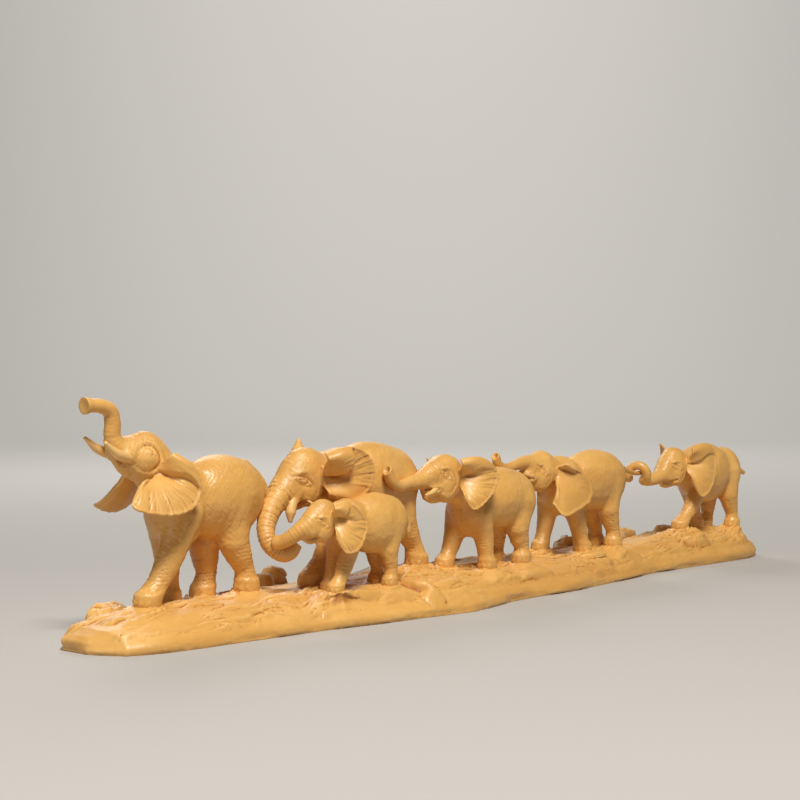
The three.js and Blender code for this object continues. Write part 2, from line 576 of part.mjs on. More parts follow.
const WOOD = 0xd9a55a;
const DOWEL_WOOD = 0xc08a44;
const TUSK_WOOD = 0xe8c285;
const PINNED_FEET = ['front_left', 'hind_right'];
const WALKING_ORDER = ['mother', 'leader', 'calf', 'third', 'fourth', 'last'];

const herd = new THREE.Group();
const carved = {};
const pads = Object.values(HERD).flatMap((animal) => (
  Object.values(animal.feet).map((foot) => pad(animal, foot))));
let ground = joined([groundBlock(), ...stones(), ...pads]);
for (const name of WALKING_ORDER) {
  const animal = HERD[name];
  let block = carvedAnimal(animal);
  for (const other of Object.keys(carved)) {
    block = joined([block.subtract(carvedAnimal(HERD[other], CLEARANCE))]);
  }
  for (const [side, points] of Object.entries(animal.tusks)) {
    block = block.subtract(tuskSpike(animal, points, CLEARANCE));
    herd.add(toMesh(`${name}_tusk_${side}`, tuskSpike(animal, points, 0), TUSK_WOOD));
  }
  ground = ground.subtract(carvedAnimal(animal, CLEARANCE));
  for (const corner of PINNED_FEET) {
    const hole = dowel(animal, animal.feet[corner], CLEARANCE);
    block = block.subtract(hole);
    ground = ground.subtract(hole);
    herd.add(toMesh(`${name}_dowel_${corner}`, dowel(animal, animal.feet[corner], 0), DOWEL_WOOD));
  }
  carved[name] = true;
  herd.add(toMesh(`elephant_${name}`, block, WOOD));
}
herd.add(toMesh('ground_base', ground, WOOD));

export default herd;
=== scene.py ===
# %% [markdown]
# # Six boxwood elephants on one piece of ground
#
# The real object is a small carving: six elephants walk in line along a low ridge of earth,
# all in honey-coloured boxwood with a soft hand polish. Here each animal is one piece, the
# ground is one piece and every tusk is a piece of its own, as on the bench.
#
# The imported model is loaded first. It fixes every place and size, and nothing here moves it.

# %% Load the frame
import math
import time

import bmesh
import bpy
import numpy as np
from mathutils import Matrix, Vector
from mathutils.bvhtree import BVHTree


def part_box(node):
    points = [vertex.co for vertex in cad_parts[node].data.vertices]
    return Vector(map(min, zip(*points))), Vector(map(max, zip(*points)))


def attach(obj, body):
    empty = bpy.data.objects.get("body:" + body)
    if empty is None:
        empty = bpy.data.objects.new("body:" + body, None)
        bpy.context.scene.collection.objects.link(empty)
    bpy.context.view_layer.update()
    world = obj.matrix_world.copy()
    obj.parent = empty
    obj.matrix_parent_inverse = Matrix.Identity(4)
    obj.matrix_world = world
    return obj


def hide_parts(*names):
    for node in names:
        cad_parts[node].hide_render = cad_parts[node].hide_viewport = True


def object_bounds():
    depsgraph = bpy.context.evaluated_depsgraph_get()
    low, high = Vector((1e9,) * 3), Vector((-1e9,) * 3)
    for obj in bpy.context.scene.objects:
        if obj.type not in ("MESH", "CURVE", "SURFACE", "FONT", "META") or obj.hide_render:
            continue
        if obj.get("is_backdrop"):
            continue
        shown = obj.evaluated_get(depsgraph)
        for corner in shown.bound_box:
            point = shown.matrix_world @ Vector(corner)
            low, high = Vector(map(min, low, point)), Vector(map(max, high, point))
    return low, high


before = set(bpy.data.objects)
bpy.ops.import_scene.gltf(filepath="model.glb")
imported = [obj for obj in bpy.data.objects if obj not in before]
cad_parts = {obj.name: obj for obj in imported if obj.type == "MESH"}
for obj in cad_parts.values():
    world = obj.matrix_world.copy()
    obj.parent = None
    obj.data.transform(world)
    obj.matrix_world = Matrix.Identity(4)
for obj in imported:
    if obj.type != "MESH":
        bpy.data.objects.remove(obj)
cad_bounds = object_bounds()
started = time.time()
print("frame nodes:", len(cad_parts))

# %% [markdown]
# ## The plan of each animal
#
# A carver draws every animal to the same proportions and only changes its size, step and
# gesture. So one table holds each animal in shares of its own height: forward, left and up,
# and a fourth number is a radius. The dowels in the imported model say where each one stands.

# %% Proportions of the herd
MM = 0.001
FOOT_SINK = 1.6
FOOT_RADIUS = 0.088
ANKLE_RADIUS = 0.072
FOOT_HEIGHT = 0.060
TAIL_RADIUS = 1.6
TAIL_SHARES = [1.9, 1.3, 1.0, 0.9, 0.9, 0.85]
TUSK_RADIUS = 1.9
TUSK_SHARES = [1.0, 1.08, 1.0, 0.34]
TUSK_SINK = 4.0
TRUNK_STEPS = 34
DRAWN_HEIGHT = 67.0

HERD = {
    "leader": {
        "height": 67.0,
        "body": dict(chest=0.42, rump=-0.485, back=0.985, belly=0.40, half=0.25, peak=-0.18),
        "head": dict(at=(0.50, 0, 0.965), pitch=36, size=0.98),
        "face": dict(eye=(0.078, 0.022), cheek=(0.058, -0.012), mouth=(0.075, 0.020)),
        "feet": {"front_left": (0.56, 0.13, 0.01), "front_right": (0.17, -0.12, -0.03),
                 "hind_left": (-0.33, 0.13, 0.03), "hind_right": (-0.14, -0.12, -0.02)},
        "trunk": [(0.60, 0, 1.02, 0.118), (0.70, 0, 1.055, 0.084), (0.748, 0, 1.13, 0.058),
                  (0.745, 0, 1.22, 0.056), (0.765, 0, 1.30, 0.052), (0.835, 0, 1.335, 0.048),
                  (0.925, 0, 1.342, 0.046), (0.975, 0, 1.34, 0.058)],
        "ears": [
            dict(hinge=[(0.44, 0.12, 0.91), (0.52, 0.12, 0.84)], cup=0.045,
                 rim=[(0.37, 0.20, 1.00), (0.27, 0.28, 0.90), (0.25, 0.31, 0.76),
                      (0.32, 0.34, 0.67), (0.46, 0.36, 0.625), (0.62, 0.35, 0.625),
                      (0.80, 0.28, 0.68), (0.68, 0.18, 0.80)],
                 fold=(0.29, 3.6), flutes=(12, 0.58, 0.28, 0.97), creases=0.3),
            dict(hinge=[(0.44, -0.12, 0.91), (0.57, -0.10, 0.87)], cup=0.02,
                 rim=[(0.36, -0.20, 1.00), (0.28, -0.30, 0.90), (0.25, -0.34, 0.77),
                      (0.29, -0.36, 0.66), (0.40, -0.38, 0.60), (0.50, -0.40, 0.605),
                      (0.575, -0.41, 0.64)],
                 fold=(0.2, 1.2), flutes=(9, 0.3, 0.2, 1.0), creases=0.2)],
        "tusk_width": 1.12,
        "tusks": {
            "left": [(0.69, 0.085, 0.998), (0.79, 0.11, 1.025), (0.905, 0.12, 1.105)],
            "right": [(0.68, -0.085, 1.005), (0.79, -0.11, 1.055), (0.886, -0.115, 1.13)]},
        "tail": [(-0.38, 0.05, 0.90), (-0.497, 0.085, 0.80), (-0.560, 0.10, 0.68),
                 (-0.575, 0.105, 0.56), (-0.560, 0.105, 0.44)],
        "rings": dict(pitch=1.5, depth=0.26, start=0.30, end=0.62),
        "eye": 0.62, "skin": 1.0, "cheek": 1.0,
    },
    "mother": {
        "height": 66.5,
        "body": dict(chest=0.47, rump=-0.57, back=1.0, belly=0.38, half=0.255, peak=-0.06),
        "head": dict(at=(0.60, 0, 0.755), pitch=6, size=1.08),
        "face": dict(eye=(0.122, -0.030), cheek=(0.10, -0.07), mouth=(0.03, -0.035)),
        "feet": {"front_left": (0.66, 0.12, -0.02), "front_right": (0.24, -0.13, -0.02),
                 "hind_left": (-0.49, 0.13, 0.03), "hind_right": (-0.40, -0.13, 0.01)},
        "trunk": [(0.70, 0, 0.78, 0.13), (0.80, 0, 0.69, 0.112), (0.92, 0.02, 0.60, 0.090),
                  (1.03, 0.06, 0.50, 0.076), (1.10, 0.11, 0.39, 0.066),
                  (1.100, 0.16, 0.295, 0.060), (1.03, 0.21, 0.238, 0.059),
                  (0.985, 0.235, 0.252, 0.058), (0.955, 0.25, 0.290, 0.050)],
        "ears": [
            dict(hinge=[(0.55, 0.14, 0.83), (0.56, 0.14, 0.70)], cup=0.05,
                 rim=[(0.62, 0.21, 0.94), (0.47, 0.28, 0.985), (0.32, 0.32, 0.95),
                      (0.22, 0.33, 0.84), (0.22, 0.32, 0.71), (0.29, 0.30, 0.62),
                      (0.42, 0.27, 0.585), (0.56, 0.20, 0.61)],
                 fold=(0.47, 6.2), roll=(0.30, 0.88), flutes=(11, 0.55, 0.24, 0.66),
                 taper=0.55, ribs=15, creases=0.25),
            dict(hinge=[(0.53, -0.14, 0.84), (0.54, -0.14, 0.70)], cup=0.05,
                 rim=[(0.50, -0.24, 0.93), (0.42, -0.31, 0.93), (0.36, -0.36, 0.83),
                      (0.38, -0.37, 0.70), (0.45, -0.33, 0.62), (0.54, -0.22, 0.61)],
                 fold=(0.4, 1.6), flutes=(6, 0.3, 0.4, 1.0), creases=0.2)],
        "ear_point": [(0.515, -0.16, 0.86, 0.070), (0.485, -0.19, 0.94, 0.050),
                      (0.460, -0.21, 1.02, 0.014)],
        "tusk_width": 1.3,
        "tusks": {
            "left": [(0.82, 0.085, 0.57), (0.845, 0.098, 0.51), (0.855, 0.105, 0.445)],
            "right": [(0.82, -0.085, 0.57), (0.845, -0.098, 0.51), (0.855, -0.105, 0.445)]},
        "tail": [(-0.49, 0, 0.82), (-0.575, 0, 0.73), (-0.605, -0.02, 0.58),
                 (-0.59, -0.03, 0.42)],
        "rings": dict(pitch=2.35, depth=0.55, start=0.10, end=0.86),
        "eye": 0.78, "skin": 0.55, "cheek": 0.25,
    },
    "calf": {
        "height": 45.0,
        "body": dict(chest=0.48, rump=-0.60, back=1.0, belly=0.34, half=0.26, peak=-0.16),
        "head": dict(at=(0.64, 0, 0.740), pitch=16, size=1.12),
        "face": dict(eye=(0.098, -0.040), cheek=(0.07, -0.08), mouth=(0.045, -0.045)),
        "feet": {"front_left": (0.56, 0.12, 0.0), "front_right": (0.42, -0.13, -0.01),
                 "hind_left": (-0.27, 0.13, 0.0), "hind_right": (-0.33, -0.13, 0.0)},
        "trunk": [(0.74, 0, 0.77, 0.13), (0.86, -0.01, 0.70, 0.105),
                  (0.95, -0.06, 0.635, 0.085), (1.005, -0.13, 0.575, 0.077),
                  (1.035, -0.20, 0.540, 0.074), (1.06, -0.25, 0.53, 0.074)],
        "ears": [
            dict(hinge=[(0.63, 0.14, 0.84), (0.61, 0.14, 0.72)], cup=0.05,
                 rim=[(0.68, 0.20, 0.945), (0.53, 0.26, 0.96), (0.39, 0.30, 0.86),
                      (0.29, 0.32, 0.70), (0.35, 0.33, 0.55), (0.47, 0.34, 0.44),
                      (0.59, 0.30, 0.43), (0.66, 0.21, 0.58)],
                 fold=(0.33, 2.6), roll=(0.25, 0.62), flutes=(9, 0.5, 0.30, 0.97),
                 taper=0.35, creases=0.1),
            dict(hinge=[(0.62, -0.14, 0.84), (0.61, -0.14, 0.72)], cup=0.05,
                 rim=[(0.62, -0.22, 0.95), (0.47, -0.32, 0.91), (0.38, -0.36, 0.76),
                      (0.40, -0.36, 0.60), (0.50, -0.32, 0.51), (0.60, -0.21, 0.58)],
                 fold=(0.3, 1.2), flutes=(6, 0.3, 0.3, 1.0), creases=0.1)],
        "tusks": {},
        "tail": [(-0.54, 0.02, 0.78), (-0.600, 0.06, 0.69), (-0.622, 0.08, 0.61),
                 (-0.615, 0.085, 0.55)],
        "rings": dict(pitch=1.9, depth=0.34, start=0.16, end=0.80),
        "eye": 0.82, "skin": 0.30, "cheek": 0.25,
    },
    "third": {
        "height": 57.5,
        "body": dict(chest=0.46, rump=-0.62, back=0.90, belly=0.33, half=0.25, peak=-0.12),
        "head": dict(at=(0.61, 0, 0.82), pitch=20, size=1.10),
        "face": dict(eye=(0.118, 0.0), cheek=(0.095, -0.045), mouth=(0.095, 0.008)),
        "feet": {"front_left": (0.16, 0.13, -0.01), "front_right": (0.47, -0.12, 0.01),
                 "hind_left": (-0.35, 0.13, 0.0), "hind_right": (-0.24, -0.12, 0.0)},
        "trunk": [(0.68, 0, 0.90, 0.13), (0.81, 0, 0.865, 0.105), (0.93, 0, 0.825, 0.083)],
        "rests_on": "mother",
        "rest": [(-0.235, 0.262, 0.675, 0.054), (-0.11, 0.288, 0.665, 0.049),
                 (-0.015, 0.302, 0.705, 0.047), (0.035, 0.305, 0.79, 0.046)],
        "ears": [
            dict(hinge=[(0.56, 0.14, 0.89), (0.57, 0.14, 0.76)], cup=0.05,
                 rim=[(0.63, 0.19, 1.01), (0.48, 0.26, 1.03), (0.34, 0.30, 0.98),
                      (0.24, 0.32, 0.86), (0.30, 0.33, 0.73), (0.43, 0.34, 0.63),
                      (0.57, 0.31, 0.56), (0.62, 0.22, 0.66)],
                 fold=(0.33, 2.0), flutes=(13, 0.50, 0.34, 1.0), taper=-0.25, creases=0.15),
            dict(hinge=[(0.55, -0.14, 0.89), (0.56, -0.14, 0.76)], cup=0.05,
                 rim=[(0.57, -0.24, 1.0), (0.43, -0.34, 0.98), (0.34, -0.38, 0.86),
                      (0.36, -0.37, 0.71), (0.46, -0.33, 0.60), (0.56, -0.22, 0.65)],
                 fold=(0.4, 1.6), flutes=(6, 0.3, 0.4, 1.0), creases=0.2)],
        "tusk_width": 0.70,
        "tusks": {"left": [(0.79, 0.075, 0.765), (0.88, 0.092, 0.722), (0.985, 0.10, 0.697)]},
        "tail": [(-0.55, 0, 0.73), (-0.635, -0.01, 0.64), (-0.665, -0.03, 0.52),
                 (-0.65, -0.04, 0.40)],
        "rings": dict(pitch=1.8, depth=0.30, start=0.12, end=0.72),
        "eye": 0.72, "skin": 0.6, "cheek": 0.6,
    },
    "fourth": {
        "height": 58.0,
        "body": dict(chest=0.48, rump=-0.68, back=0.985, belly=0.38, half=0.245, peak=-0.26),
        "head": dict(at=(0.595, 0, 0.79), pitch=30, size=1.04),
        "face": dict(eye=(0.105, -0.035), cheek=(0.08, -0.075), mouth=(0.11, -0.01)),
        "feet": {"front_left": (0.07, 0.13, 0.0), "front_right": (0.43, -0.12, 0.02),
                 "hind_left": (-0.45, 0.13, 0.01), "hind_right": (-0.50, -0.13, 0.0)},
        "trunk": [(0.64, 0, 0.87, 0.10), (0.75, 0, 0.885, 0.082), (0.86, 0, 0.895, 0.066)],
        "rests_on": "third",
        "rest": [(-0.60, -0.13, 0.895, 0.052), (-0.43, -0.12, 0.87, 0.047),
                 (-0.31, -0.12, 0.91, 0.044), (-0.275, -0.12, 0.985, 0.042)],
        "ears": [
            dict(hinge=[(0.50, 0.13, 0.86), (0.53, 0.13, 0.74)], cup=0.05,
                 rim=[(0.42, 0.19, 0.88), (0.30, 0.23, 0.80), (0.17, 0.26, 0.71),
                      (0.13, 0.28, 0.61), (0.20, 0.30, 0.51), (0.38, 0.31, 0.44),
                      (0.62, 0.30, 0.385), (0.68, 0.20, 0.50)],
                 fold=(0.20, 2.2), flutes=(5, 0.3, 0.2, 0.75), creases=0.2),
            dict(hinge=[(0.49, -0.13, 0.86), (0.52, -0.13, 0.74)], cup=0.05,
                 rim=[(0.44, -0.22, 0.93), (0.32, -0.31, 0.86), (0.24, -0.35, 0.72),
                      (0.28, -0.35, 0.58), (0.42, -0.32, 0.50), (0.58, -0.22, 0.55)],
                 fold=(0.3, 1.2), flutes=(6, 0.3, 0.3, 1.0), creases=0.1)],
        "tusks": {},
        "tail": [(-0.60, 0, 0.83), (-0.74, -0.01, 0.79), (-0.90, -0.03, 0.75),
                 (-1.05, -0.06, 0.715), (-1.20, -0.09, 0.70), (-1.33, -0.10, 0.70)],
        "rings": dict(pitch=1.7, depth=0.26, start=0.15, end=0.80),
        "eye": 0.72, "skin": 0.45, "cheek": 0.35,
    },
    "last": {
        "height": 55.0,
        "body": dict(chest=0.52, rump=-0.51, back=0.985, belly=0.30, half=0.25, peak=0.14),
        "head": dict(at=(0.79, 0, 0.735), pitch=8, size=1.08),
        "face": dict(eye=(0.105, -0.015), cheek=(0.075, -0.06), mouth=(0.03, -0.01)),
        "feet": {"front_left": (0.74, 0.06, 0.03), "front_right": (0.12, -0.11, 0.0),
                 "hind_left": (-0.30, 0.12, -0.01), "hind_right": (-0.08, -0.12, -0.02)},
        "trunk": [(0.88, 0, 0.76, 0.12), (0.98, 0, 0.69, 0.10), (1.09, 0, 0.63, 0.078)],
        "coils_on": "fourth",
        "ears": [
            dict(hinge=[(0.72, 0.14, 0.82), (0.74, 0.14, 0.69)], cup=0.05,
                 rim=[(0.73, 0.20, 0.96), (0.56, 0.25, 1.00), (0.42, 0.29, 0.94),
                      (0.38, 0.31, 0.76), (0.43, 0.32, 0.60), (0.52, 0.32, 0.47),
                      (0.64, 0.29, 0.40), (0.74, 0.21, 0.56)],
                 fold=(0.36, 1.8), flutes=(6, 0.28, 0.36, 1.0), creases=0.15),
            dict(hinge=[(0.70, -0.14, 0.82), (0.72, -0.14, 0.69)], cup=0.05,
                 rim=[(0.70, -0.22, 0.99), (0.54, -0.32, 0.97), (0.46, -0.36, 0.80),
                      (0.48, -0.36, 0.62), (0.58, -0.32, 0.52), (0.70, -0.21, 0.58)],
                 fold=(0.3, 1.2), flutes=(6, 0.25, 0.3, 1.0), creases=0.1)],
        "tusks": {},
        "tail": [(-0.42, 0.05, 0.68), (-0.52, 0.08, 0.64), (-0.60, 0.09, 0.61)],
        "rings": dict(pitch=1.6, depth=0.22, start=0.15, end=0.55),
        "eye": 0.78, "skin": 0.3, "cheek": 0.5,
    },
}


def standing_place(name):
    """Where an animal's own frame has its origin, in millimetres, from its front dowel."""
    low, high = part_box(f"{name}_dowel_front_left")
    foot = np.array(HERD[name]["feet"]["front_left"]) * HERD[name]["height"]
    middle = np.array((low + high) / 2) / MM
    return middle + np.array([foot[0], foot[1], FOOT_SINK - foot[2]])


PLACES = {name: standing_place(name) for name in HERD}
for name, place in PLACES.items():
    print(f"{name:7s} stands at x {place[0]:7.1f}  y {place[1]:6.1f}  z {place[2]:5.1f} mm")

# %% [markdown]
# The animals face along minus X. An animal's own frame points forward, left and up, which is
# the world turned half round, so going between the two is only a change of sign.


# %% Between the world and an animal's own frame
def to_world(name, points):
    """Own millimetres to world millimetres."""
    points = np.asarray(points, float)
    turned = points * np.array([-1.0, -1.0, 1.0])
    return turned + PLACES[name]


def to_own(name, points):
    """World millimetres to an animal's own millimetres."""
    return (np.asarray(points, float) - PLACES[name]) * np.array([-1.0, -1.0, 1.0])


def scaled(name, rows):
    """Rows of shares (forward, left, up, radius) in own millimetres."""
    return np.array(rows, float) * HERD[name]["height"]


# %% [markdown]
# ## Flowing lines
#
# Trunks, tails, tusks and ear rims are curves. A curve through the drawn points, with knots
# spaced by the root of their distance, never loops or overshoots, and the radius is passed
# from point to point along with the place.


# %% A curve through points
def curve_at(rows, shares):
    """Points of the curve through rows, at shares from 0 to 1. Extra columns go straight."""
    rows = np.asarray(rows, float)
    count = len(rows) - 1
    spot = np.clip(np.asarray(shares, float), 0, 1) * count
    start = np.minimum(spot.astype(int), count - 1)
    t = (spot - start)[:, None]
    places = rows[:, :3]
    padded = np.vstack([2 * places[0] - places[1], places, 2 * places[-1] - places[-2]])
    p0, p1, p2, p3 = (padded[start + i] for i in range(4))
    gaps = [np.sqrt(np.linalg.norm(b - a, axis=1))[:, None]
            for a, b in ((p0, p1), (p1, p2), (p2, p3))]
    d0, d1, d2 = (np.maximum(gap, 1e-6) for gap in gaps)
    t1 = ((p1 - p0) / d0 - (p2 - p0) / (d0 + d1) + (p2 - p1) / d1) * d1
    t2 = ((p2 - p1) / d1 - (p3 - p1) / (d1 + d2) + (p3 - p2) / d2) * d1
    cubic = 2 * p1 - 2 * p2 + t1 + t2
    square = -3 * p1 + 3 * p2 - 2 * t1 - t2
    out = p1 + t1 * t + square * t ** 2 + cubic * t ** 3
    if rows.shape[1] > 3:
        rest = rows[start, 3:] * (1 - t) + rows[start + 1, 3:] * t
        out = np.hstack([out, rest])
    return out


def flowing(rows, steps):
    """The curve as a chain of steps + 1 points."""
    return curve_at(rows, np.linspace(0, 1, steps + 1))


def trunk_line(name):
    """An animal's trunk from brow to tip: own points, then points on the neighbour it holds."""
    animal = HERD[name]
    rows = scaled(name, animal["trunk"])
    if "rests_on" in animal:
        host = animal["rests_on"]
        held = scaled(host, animal["rest"])
        held[:, :3] = to_own(name, to_world(host, held[:, :3]))
        held[:, 3] *= animal["height"] / HERD[host]["height"]
        rows = np.vstack([rows, held])
    if "coils_on" in animal:
        rows = np.vstack([rows, coil_line(name, animal["coils_on"])])
    return rows


def coil_line(name, host):
    """The last trunk winds once round the tail in front, and its tip stands up."""
    height = HERD[name]["height"]
    tail = to_world(host, scaled(host, HERD[host]["tail"]))
    centre = tail[-1] * 0.45 + tail[-2] * 0.55
    radius = TAIL_RADIUS + 0.052 * height + 0.3
    turn = []
    for share in np.linspace(0, 1, 7):
        angle = (-math.pi / 2 + 0.2) * (1 - share) + math.pi * 1.25 * share
        step = (0.05 - 0.17 * share) * height
        at = centre + np.array([step, -math.cos(angle) * radius, math.sin(angle) * radius])
        turn.append([*at, (0.056 - 0.012 * share) * height])
    turn.append([turn[-1][0] - 3, turn[-1][1] + 0.5, turn[-1][2] + 4.5, turn[-1][3]])
    turn = np.array(turn)
    turn[:, :3] = to_own(name, turn[:, :3])
    return turn


# %% [markdown]
# ## The masses of an elephant
#
# A sculptor builds an animal from a few plain masses and then runs them into each other with
# clay. The same is done here: eggs and tapering rods, each with a depth of clay in the joint.
# Two things come from the same list: rough shells that the voxel remesh fuses, and a distance
# that tells every point of the fused skin where the smooth clay surface is.


# %% Eggs, rods and drums
def head_axes(head):
    """The head's own axes as columns, in its animal's frame."""
    pitch = math.radians(head["pitch"])
    cos, sin = math.cos(pitch), math.sin(pitch)
    return np.array([[cos, 0, -sin], [0, 1, 0], [sin, 0, cos]])


def masses(name):
    """Every mass of an animal: kind, its numbers and the depth of clay in its joint, mm."""
    animal = HERD[name]
    size = animal["height"]
    body, head = animal["body"], animal["head"]
    found = []

    def egg(centre, radii, clay, axes=np.eye(3), base=(0, 0, 0), scale=1.0):
        middle = (np.array(base) + scale * axes @ np.array(centre, float)) * size
        found.append(("egg", middle, np.array(radii) * size * scale, axes, clay * size))

    def rod(rows, clay, steps=6):
        found.append(("rod", flowing(rows, steps), None, None, clay * size))

    length = body["chest"] - body["rump"]
    middle = (body["back"] + body["belly"]) / 2
    depth = (body["back"] - body["belly"]) / 2
    egg((body["peak"], 0, middle), (0.42 * length, body["half"], depth), 0.05)
    egg((body["rump"] + 0.25, 0, body["back"] - 0.33), (0.24, 0.215, 0.27), 0.06)
    egg((body["chest"] - 0.22, 0, body["back"] - 0.36), (0.22, 0.20, 0.27), 0.06)
    neck_start = (body["chest"] - 0.20, 0, body["back"] - 0.24, 0.20)
    neck_end = (head["at"][0] - 0.04, 0, head["at"][2], 0.15)
    neck_middle = tuple((a + b) / 2 for a, b in zip(neck_start[:3], neck_end[:3])) + (0.17,)
    rod(scaled(name, [neck_start, neck_middle, neck_end]), 0.05)

    for key, foot in animal["feet"].items():
        side = math.copysign(1, foot[1])
        fore = key.startswith("front")
        hip = ((body["chest"] - 0.19, side * 0.12, body["back"] - 0.40, 0.125) if fore
               else (body["rump"] + 0.26, side * 0.10, body["back"] - 0.34, 0.14))
        bend = -0.02 if fore else 0.05

        def along(share, shift, radius, hip=hip, foot=foot):
            place = [hip[i] * (1 - share) + foot[i] * share for i in range(3)]
            return (place[0] + shift, place[1], place[2], radius)

        rod(scaled(name, [hip, along(0.42, bend, 0.095 if fore else 0.115),
                          along(0.74, -0.01, 0.075), (foot[0], foot[1], foot[2] + 0.05, 0.077)]),
            0.045)
        found.append(("drum", np.array(foot) * size,
                      (ANKLE_RADIUS * size, FOOT_RADIUS * size, FOOT_HEIGHT * size), None,
                      0.075 * size))

    axes = head_axes(head)
    base, scale = head["at"], head["size"]

    def on_head(rows):
        rows = np.array(rows, float)
        rows[:, :3] = np.array(base) + scale * rows[:, :3] @ axes.T
        rows[:, 3] *= scale
        return rows * size

    egg((0, 0, 0.04), (0.155, 0.14, 0.165), 0.04, axes, base, scale)
    lifted = name == "leader"
    nose = (0.155, 0, -0.04, 0.075) if lifted else (0.17, 0, -0.12, 0.085)
    rod(on_head([(0.05, 0, 0.08, 0.11), (0.12, 0, 0.0, 0.10), nose]), 0.03)
    jaw = [(0, 0, -0.10, 0.085), (0.10, 0, -0.185, 0.052), (0.17, 0, -0.205, 0.030)]
    if lifted:
        jaw = [(0, 0, -0.07, 0.085), (0.11, 0, -0.115, 0.055), (0.19, 0, -0.118, 0.028)]
    rod(on_head(jaw), 0.03)
    for side in (-1, 1):
        cheek = (0.03, side * 0.072, -0.035) if lifted else (0.02, side * 0.075, -0.08)
        egg(cheek, (0.11, 0.065, 0.10 if lifted else 0.12), 0.04, axes, base, scale)
        sheath = [(0.10, side * 0.055, -0.08, 0.05), (0.15, side * 0.066, -0.14, 0.044),
                  (0.18, side * 0.075, -0.19, 0.034)]
        if len(animal["tusks"]) < 2:
            sheath = [sheath[0], (0.15, side * 0.05, -0.13, 0.046)]
        if lifted:
            sheath = [(0.09, side * 0.06, -0.04, 0.05), (0.18, side * 0.083, -0.075, 0.036)]
        rod(on_head(sheath), 0.025)
    found.append(("rod", flowing(trunk_line(name), TRUNK_STEPS), None, None, 0.03 * size))
    if "ear_point" in animal:
        rod(scaled(name, animal["ear_point"]), 0.02)
    tail = scaled(name, animal["tail"])
    thick = np.array(TAIL_SHARES[:len(tail)])[:, None] * TAIL_RADIUS
    found.append(("rod", flowing(np.hstack([tail, thick]), 12), None, None, 0.02 * size))
    return found


# %% [markdown]
# The distance to a mass is below nought inside it. Joining two with clay takes the nearer
# one, and where both are near it swells a little, which is the fillet that a thumb leaves.


# %% How far a point is from the smooth clay surface
def smooth_join(one, other, clay):
    """Two distances joined with a depth of clay."""
    share = np.clip(0.5 + 0.5 * (other - one) / clay, 0, 1)
    return other + (one - other) * share - clay * share * (1 - share)


def egg_distance(points, centre, radii, axes):
    """About how far each point is from an egg."""
    local = (points - centre) @ axes
    near = np.linalg.norm(local / radii, axis=1)
    steep = np.linalg.norm(local / radii ** 2, axis=1)
    return near * (near - 1) / np.maximum(steep, 1e-9)


def nearest_on(points, start, run):
    """How far along a straight run the place nearest each point is, and the way from there."""
    rel = points - start
    t = np.clip(rel @ run / max(run @ run, 1e-9), 0, 1)
    return t, rel - t[:, None] * run


def rod_distance(points, chain):
    """Distance to a tapering rod, and how far along it the nearest place is, 0 to 1."""
    best = np.full(len(points), 1e9)
    along = np.zeros(len(points))
    steps = len(chain) - 1
    for i in range(steps):
        t, way = nearest_on(points, chain[i, :3], chain[i + 1, :3] - chain[i, :3])
        radius = chain[i, 3] + t * (chain[i + 1, 3] - chain[i, 3])
        away = np.linalg.norm(way, axis=1) - radius
        closer = away < best
        best = np.where(closer, away, best)
        along = np.where(closer, (i + t) / steps, along)
    return best, along


def drum_distance(points, sole, sizes):
    """How far each point is from a foot, wider below."""
    ankle, foot, height = sizes
    rise = points[:, 2] - sole[2]
    share = np.clip((rise + FOOT_SINK) / (height + FOOT_SINK), 0, 1)
    across = np.hypot(points[:, 0] - sole[0], points[:, 1] - sole[1])
    side = across - (foot + (ankle - foot) * share ** 0.8)
    ends = np.maximum(rise - height, -FOOT_SINK - rise)
    return -smooth_join(-side, -ends, 0.9)


def reach_box(kind, first, second):
    """The lowest and highest corner of a mass."""
    if kind == "egg":
        far = np.full(3, second.max())
        return first - far, first + far
    if kind == "rod":
        thick = first[:, 3].max()
        return first[:, :3].min(0) - thick, first[:, :3].max(0) + thick
    wide = np.array([second[1], second[1], second[2]])
    return first - wide, first + wide


def clay_distance(points, parts):
    """Distance to the whole clay figure. A mass counts only for the points near it."""
    total = np.full(len(points), 50.0, np.float32)
    for kind, first, second, axes, clay in parts:
        low, high = reach_box(kind, first, second)
        margin = clay + 3.0
        near = np.nonzero(np.all((points > low - margin) & (points < high + margin), axis=1))[0]
        if kind == "egg":
            gap = egg_distance(points[near], first, second, axes)
        elif kind == "rod":
            gap = rod_distance(points[near], first)[0]
        else:
            gap = drum_distance(points[near], first, second)
        total[near] = smooth_join(total[near], gap, clay)
    return total


# %% [markdown]
# Every shell is drawn in a bmesh, written out as a mesh and put in the scene as an object, so
# these two steps come first.


# %% Meshes and objects
def mesh_from(bm, label):
    """A bmesh written out as a mesh."""
    mesh = bpy.data.meshes.new(label)
    bm.to_mesh(mesh)
    return mesh


def placed(label, data):
    """An object that holds the data, linked into the scene."""
    item = bpy.data.objects.new(label, data)
    bpy.context.scene.collection.objects.link(item)
    return item


# %% [markdown]
# ## Rough shells
#
# Blender's voxel remesh wants closed shells that overlap. An egg is an icosphere, and a rod
# is a cone that is cut into rings and bent along its line by moving each ring.


# %% Shells for the remesh
def egg_shell(bm, centre, radii, axes):
    turn = Matrix(axes.tolist()).to_4x4()
    matrix = Matrix.Translation(Vector(centre)) @ turn @ Matrix.Diagonal((*radii, 1))
    bmesh.ops.create_icosphere(bm, subdivisions=4, radius=1, matrix=matrix)


